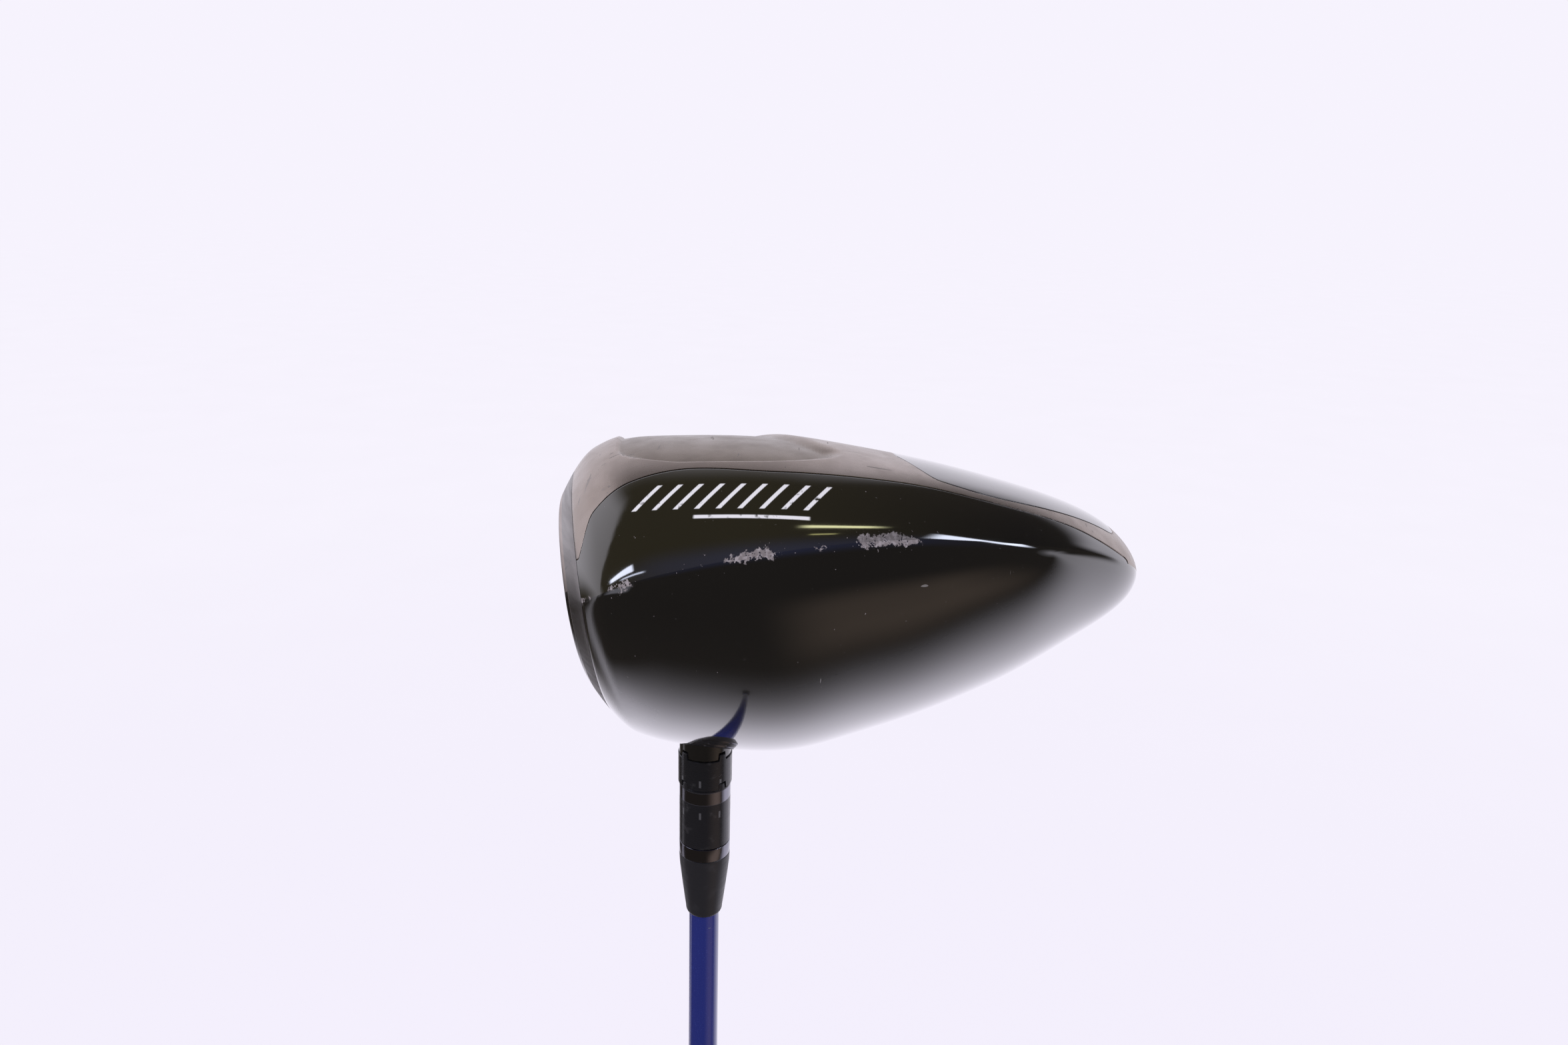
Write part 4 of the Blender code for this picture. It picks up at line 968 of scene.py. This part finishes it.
def sleeve_pieces():
    black = anodised_material("sleeve_black", (0.027, 0.027, 0.031), 0.2, (86.5 * MM, 88.5 * MM),
                              (80.6 * MM, 84.2 * MM))
    ring_black = anodised_material("ring_black", (0.024, 0.024, 0.027), 0.22, (76.6 * MM, 78.6 * MM))
    gap = 0.12 * MM
    ring = castellated("setting_ring_skin", HOSEL_BORE, RING_RADIUS, HOSEL_TOP + gap, SLEEVE_SHOULDER - gap, KEY_HEIGHT,
                       NOTCH_DEPTH)
    finish_piece(ring, ring_black, "setting_ring", "sleeve", "adjusting_ring")
    collar = castellated("sleeve_collar", SHAFT_TIP_RADIUS + 0.05 * MM, COLLAR_RADIUS, SLEEVE_SHOULDER, SLEEVE_TOP,
                         KEY_HEIGHT, 0.0)
    finish_piece(collar, black, "shaft_assembly", "sleeve")
    bore = SHAFT_TIP_RADIUS + 0.1 * MM
    barrel = rounded([(bore, SLEEVE_TOP - MM), (BARREL_RADIUS, SLEEVE_TOP - MM), (BARREL_RADIUS, SLEEVE_TIP),
                      (2.5 * MM, SLEEVE_TIP), (2.5 * MM, SHAFT_TIP - 0.2 * MM), (bore, SHAFT_TIP - 0.2 * MM)], 0.3 * MM)
    thing = shaft_turned("sleeve_barrel", barrel, closed=True)
    finish_piece(thing, black, "shaft_assembly", "sleeve", "shaft_sleeve")

    low = SLEEVE_TOP + 0.1 * MM
    band = rounded([(bore, low), (COLLAR_RADIUS, low), (COLLAR_RADIUS, BAND_TOP), (bore, BAND_TOP)], 0.15 * MM)
    thing = shaft_turned("trim_band_skin", band, closed=True)
    grey = anodised_material("band_grey", (0.20, 0.20, 0.25), 0.15, None, (SLEEVE_TOP, BAND_TOP))
    finish_piece(thing, grey, "shaft_assembly", "band", "trim_band")

    low = BAND_TOP + 0.08 * MM
    end = COLLAR_RADIUS * 0.727
    ferrule = [(bore, low), (COLLAR_RADIUS - 0.1 * MM, low), (COLLAR_RADIUS, low + 0.1 * MM),
               (COLLAR_RADIUS - 0.05 * MM, low + 1.5 * MM)]
    ferrule += [(COLLAR_RADIUS + (end - COLLAR_RADIUS) * (k / 12) ** 1.12, low + 1.5 * MM + 16.4 * MM * k / 12)
                for k in range(1, 13)]
    start = ferrule[-1][1]
    for k in range(1, 9):
        turn = math.pi / 2 * k / 8
        ferrule.append((bore + (end - bore) * math.cos(turn), start + (FERRULE_TOP - start) * math.sin(turn)))
    thing = shaft_turned("ferrule_skin", ferrule, closed=True, segments=128)
    finish_piece(thing, ferrule_material(), "shaft_assembly", "ferrule", "ferrule")


def shaft_radius(s):
    butt = CLUB_LENGTH - CAP_HEIGHT
    share = max(0.0, s - SHAFT_TAPER_START) / (butt - SHAFT_TAPER_START)
    return SHAFT_TIP_RADIUS + (SHAFT_BUTT_RADIUS - SHAFT_TIP_RADIUS) * share


def shaft_skin():
    butt = CLUB_LENGTH - CAP_HEIGHT - 0.3 * MM
    outside = [(shaft_radius(s), s) for s in np.linspace(SHAFT_TIP, butt, 40)]
    inside = [(shaft_radius(s) - 1.15 * MM, s) for s in (butt, SHAFT_TAPER_START, SHAFT_TIP)]
    thing = shaft_turned("shaft_skin", outside + inside, closed=True, segments=128)
    finish_piece(thing, shaft_material(), "shaft_assembly", "shaft", "shaft")


# ---------------------------------------------------------------- grip

def grip_radius(height):
    share = (GRIP_LENGTH - height) / GRIP_LENGTH
    return GRIP_MOUTH_RADIUS + (GRIP_BUTT_RADIUS - GRIP_MOUTH_RADIUS) * share ** 1.35


def grip_relief(height, turns):
    """Depth of the moulded pattern: crossed diagonal cuts in three fields, with a groove round each smooth collar."""
    pattern = np.zeros(len(turns))
    around = turns * 11.5 * MM
    lead = (height - CAP_HEIGHT) * 0.62
    for sign in (1, -1):
        place = (around * 0.79 + sign * lead) % PATTERN_PITCH
        away = np.minimum(place, PATTERN_PITCH - place)
        pattern = np.maximum(pattern, 1 - fade(away, PATTERN_WIDTH * 0.45, PATTERN_WIDTH))
    field = 0.0
    for low, high in PATTERN_FIELDS:
        start, end = fade(height, low * MM, (low + 2.5) * MM), fade(height, (high - 2.5) * MM, high * MM)
        field = max(field, float(start * (1 - end)))
    groove = sum(1 - float(fade(abs(height - centre * MM), 0.3 * MM, 0.8 * MM)) for centre in GROOVES)
    return PATTERN_DEPTH * pattern * field + GROOVE_DEPTH * min(groove, 1.0)


def grip_skin():
    turns = full_turn(208)
    low, high = CAP_HEIGHT + 0.12 * MM, GRIP_LENGTH
    rings = []
    for height in np.linspace(low, high, 620):
        end = min(height - low, high - height)
        radius = grip_radius(height) - grip_relief(height, turns) - float(rounded_drop(end, 0.8 * MM))
        rings.append(hoop(radius, height, turns))
    rings += [hoop(shaft_radius(CLUB_LENGTH - height) + 0.85 * MM, height, turns) for height in (high, low)]
    thing = ring_loft("grip_skin", np.array(rings), True, sharp=50)
    rubber = rubber_material("grip_rubber", (0.022, 0.022, 0.024), 0.72)
    finish_piece(thing, rubber, "shaft_assembly", "grip", "grip")

    radius = grip_radius(CAP_HEIGHT)
    cap = [(0.1 * MM, CAP_HEIGHT), (radius - 0.3 * MM, CAP_HEIGHT), (radius, CAP_HEIGHT - 0.3 * MM)]
    for k in range(9):
        turn = math.pi / 2 * k / 8
        cap.append((radius - 1.6 * MM + 1.6 * MM * math.cos(turn), 1.6 * MM * (1 - math.sin(turn))))
    cap += [(9.4 * MM, 0.0), (9.2 * MM, 0.35 * MM), (8.6 * MM, 0.35 * MM), (8.4 * MM, 0.0), (1.5 * MM, 0.0),
            (1.35 * MM, 0.15 * MM), (1.3 * MM, 1.4 * MM), (0.1 * MM, 1.5 * MM)]
    thing = turned("grip_cap_skin", cap, segments=128)
    finish_piece(thing, rubber, "shaft_assembly", "grip", "grip_cap")


# ---------------------------------------------------------------- assembly, studio and camera

def sole_normal(phi, below):
    step = 0.01
    along = sole_row(phi + step, np.array([below]))[0] - sole_row(phi - step, np.array([below]))[0]
    beside = sole_row(phi, np.array([below + step]))[0] - sole_row(phi, np.array([below - step]))[0]
    normal = Vector(np.cross(along, beside)).normalized()
    return normal if normal.z < 0 else -normal


def build_head():
    phi = math.asin(WEIGHT_SHARE)
    turn = sole_normal(phi, math.pi / 2).to_track_quat("Z", "Y").to_matrix().to_4x4()
    place = Vector(sole_row(phi, np.array([math.pi / 2]))[0])
    seat_matrix = TO_ROW @ Matrix.Translation(place) @ turn

    bore = shaft_turned("bore_cutter", [(LINER_RADIUS + 0.05 * MM, -8 * MM), (LINER_RADIUS + 0.05 * MM, 75 * MM)])
    port = turned("port_cutter", [(SEAT_RADIUS + 0.08 * MM, -13 * MM), (SEAT_RADIUS + 0.08 * MM, 5 * MM)], seat_matrix)
    rings = [head_row(phi, full_turn(240), 0.1 * MM) for phi in row_positions(0.03, 0.95, 60)]
    envelope = ring_loft("envelope_cutter", placed(np.array(rings), TO_ROW))

    crown_skin(bore)
    body_skin((bore, port))
    panel_skin("toe_panel_skin", TOE_PANEL_SPAN, None, TOE_PANEL_EDGE, 60, toe_material(), "toe_panel", "toe_panel")
    panel_skin("rear_panel_skin", REAR_PANEL_SPAN, SOLE_PANEL_EDGE, HEEL_PANEL_EDGE, 120, rear_panel_material(),
               "sole_panel", "sole_rear_panel", port)
    face_skin()
    score_lines()
    hosel_skin(envelope)
    screws(seat_matrix)
    for cutter in (bore, port, envelope):
        bpy.data.objects.remove(cutter, do_unlink=True)


def dress_cad_nodes():
    """Materials for the CAD nodes that stay as they are."""
    rubber = rubber_material("black_rubber", (0.02, 0.02, 0.02), 0.65)
    steel = steel_material("brace_steel", (0.4, 0.4, 0.41), 0.35)
    dressing = {
        "tip_plug": rubber, "screw_retainer": rubber, "weight_gasket": rubber, "hosel_screw_washer": steel,
        "brace_bar_toe": steel, "brace_bar_heel": steel, "grip_tape": tape_material(),
    }
    for name, material in dressing.items():
        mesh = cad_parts[name].data
        mesh.materials.clear()
        mesh.materials.append(material)
        mesh.shade_smooth()


def glow_sheet(name, points, faces, colour, cover):
    """A sheet of light or dark that only reflections see; cover says how dense each of its points is."""
    mesh = bpy.data.meshes.new(name)
    mesh.from_pydata([tuple(map(float, point)) for point in points], [], faces)
    layer = mesh.attributes.new("cover", "FLOAT", "POINT")
    layer.data.foreach_set("value", np.asarray(cover, dtype=np.float32))
    material = bpy.data.materials.new(name)
    material.use_nodes = True
    tree = material.node_tree
    tree.nodes.clear()
    glow = tree.nodes.new("ShaderNodeEmission")
    glow.inputs["Color"].default_value = (*colour, 1.0)
    clear = tree.nodes.new("ShaderNodeBsdfTransparent")
    density = tree.nodes.new("ShaderNodeAttribute")
    density.attribute_name = "cover"
    blend = tree.nodes.new("ShaderNodeMixShader")
    output = tree.nodes.new("ShaderNodeOutputMaterial")
    tree.links.new(density.outputs["Fac"], blend.inputs[0])
    tree.links.new(clear.outputs[0], blend.inputs[1])
    tree.links.new(glow.outputs[0], blend.inputs[2])
    tree.links.new(blend.outputs[0], output.inputs["Surface"])
    mesh.materials.append(material)
    thing = add_object(name, mesh)
    thing.visible_camera = False
    thing.visible_diffuse = False
    thing.visible_shadow = False
    thing.visible_transmission = False


def room_direction(lift, aside):
    """A direction from the head: lift turns from the camera's side up over the sole, aside to the back of the head."""
    return np.array((math.sin(aside), -math.cos(aside) * math.cos(lift), math.cos(aside) * math.sin(lift)))


def dark_room(centre):
    """The unlit side of the studio, behind the camera, which the gloss paint reflects."""
    lifts, asides = np.linspace(-134, 176, 94), np.linspace(-89, 89, 60)
    points, cover = [], []
    for lift in lifts:
        for aside in asides:
            points.append(centre + room_direction(math.radians(lift), math.radians(aside)))
            left = 1 - float(fade(aside, -40, -12))
            bottom = float(fade(lift, -122 - 8 * left, -80 - 22 * left))
            right = float(fade(aside, 4, 26))
            top = 1 - float(fade(lift, 122 + 22 * right, 152 + 14 * right))
            upper = float(fade(lift, 95, 120))
            sides = float(fade(aside, -89 + 39 * upper, -84 + 48 * upper) * (1 - fade(aside, 84, 89)))
            cover.append(bottom * top * sides)
    glow_sheet("dark_room", points, grid_faces(len(lifts), len(asides)), ROOM_COLOUR, cover)


def lamp_sheet(name, centre, reach, lift_span, aside_span, soft, colour):
    """A soft-edged window, lamp or dark wall, on a sphere round the head, given by its spans in degrees."""
    lifts, asides = np.linspace(*lift_span, 14), np.linspace(*aside_span, 30)
    points, cover = [], []
    for lift in lifts:
        for aside in asides:
            points.append(centre + reach * room_direction(math.radians(lift), math.radians(aside)))
            edge_lift = min(lift - lift_span[0], lift_span[1] - lift) / (lift_span[1] - lift_span[0])
            edge_aside = min(aside - aside_span[0], aside_span[1] - aside) / (aside_span[1] - aside_span[0])
            cover.append(float(fade(edge_lift, 0.0, soft) * fade(edge_aside, 0.0, soft)))
    glow_sheet(name, points, grid_faces(len(lifts), len(asides)), colour, cover)


def studio():
    world = bpy.data.worlds.new("pale_world")
    world.use_nodes = True
    background = world.node_tree.nodes["Background"]
    background.inputs["Color"].default_value = (*WORLD_COLOUR, 1.0)
    background.inputs["Strength"].default_value = 1.0
    bpy.context.scene.world = world
    bpy.context.scene.view_settings.view_transform = "Standard"

    floor_mesh = bpy.data.meshes.new("floor")
    form = bmesh.new()
    bmesh.ops.create_circle(form, cap_ends=True, radius=FLOOR_RADIUS, segments=96)
    form.to_mesh(floor_mesh)
    form.free()
    floor = add_object("floor", floor_mesh)
    pale = Shader("pale_floor", (0.9, 0.9, 0.9), 0.8, Specular_IOR_Level=0.0, Emission_Strength=1.0)
    pale.paint(pale.ramp(pale.noise(3.0, 3.0), 0.3, 0.7), (0.91, 0.91, 0.91))
    # Painted shade: the floor is darker and a little bluer within 0.6 m of where the club stands, fading out by 4 m
    away = pale.node("ShaderNodeVectorMath", {0: pale.place()}, operation="LENGTH").outputs["Value"]
    pale.paint(pale.ramp(away, 0.6, 4.0, 1.0, 0.0), (0.855, 0.845, 0.875))
    pale.set("Emission Color", (*(FLOOR_GLOW * value for value in WORLD_COLOUR), 1.0))
    floor_mesh.materials.append(pale.material)

    head = TO_ROW @ Vector((30 * MM, 37 * MM, 30 * MM))
    centre = np.array(head)
    dark_room(centre)
    for name, *settings in SHEETS:
        lamp_sheet(name, centre, *settings)

    lamp = bpy.data.lights.new("soft_key", "AREA")
    lamp.shape = "RECTANGLE"
    lamp.size = 0.8
    lamp.size_y = 0.5
    lamp.energy = 2.0
    light = add_object("soft_key", lamp)
    light.location = head + Vector((-0.7, -0.1, 0.7))
    light.rotation_euler = (head - light.location).to_track_quat("-Z", "Y").to_euler()
    light.visible_glossy = False


def add_camera():
    """The camera looks at the toe from just above the crown's side, with the sole up."""
    forward = -Vector((-math.sin(CAMERA_YAW) * math.cos(CAMERA_ELEVATION),
                       math.cos(CAMERA_YAW) * math.cos(CAMERA_ELEVATION), math.sin(CAMERA_ELEVATION)))
    right = forward.cross(Vector((0, 0, -1))).normalized()
    up = right.cross(forward)
    turned_right = right * math.cos(CAMERA_ROLL) + up * math.sin(CAMERA_ROLL)
    turned_up = up * math.cos(CAMERA_ROLL) - right * math.sin(CAMERA_ROLL)
    place = Matrix((turned_right, turned_up, -forward)).transposed().to_4x4()
    place.translation = CAMERA_TARGET - forward * CAMERA_DISTANCE
    data = bpy.data.cameras.new("camera")
    data.lens = CAMERA_LENS
    data.sensor_width = 36.0
    data.clip_start = 0.01
    camera = add_object("camera", data)
    camera.matrix_world = TO_ROW @ place
    bpy.context.scene.camera = camera


add_camera()
build_head()
sleeve_pieces()
shaft_skin()
grip_skin()
dress_cad_nodes()
studio()
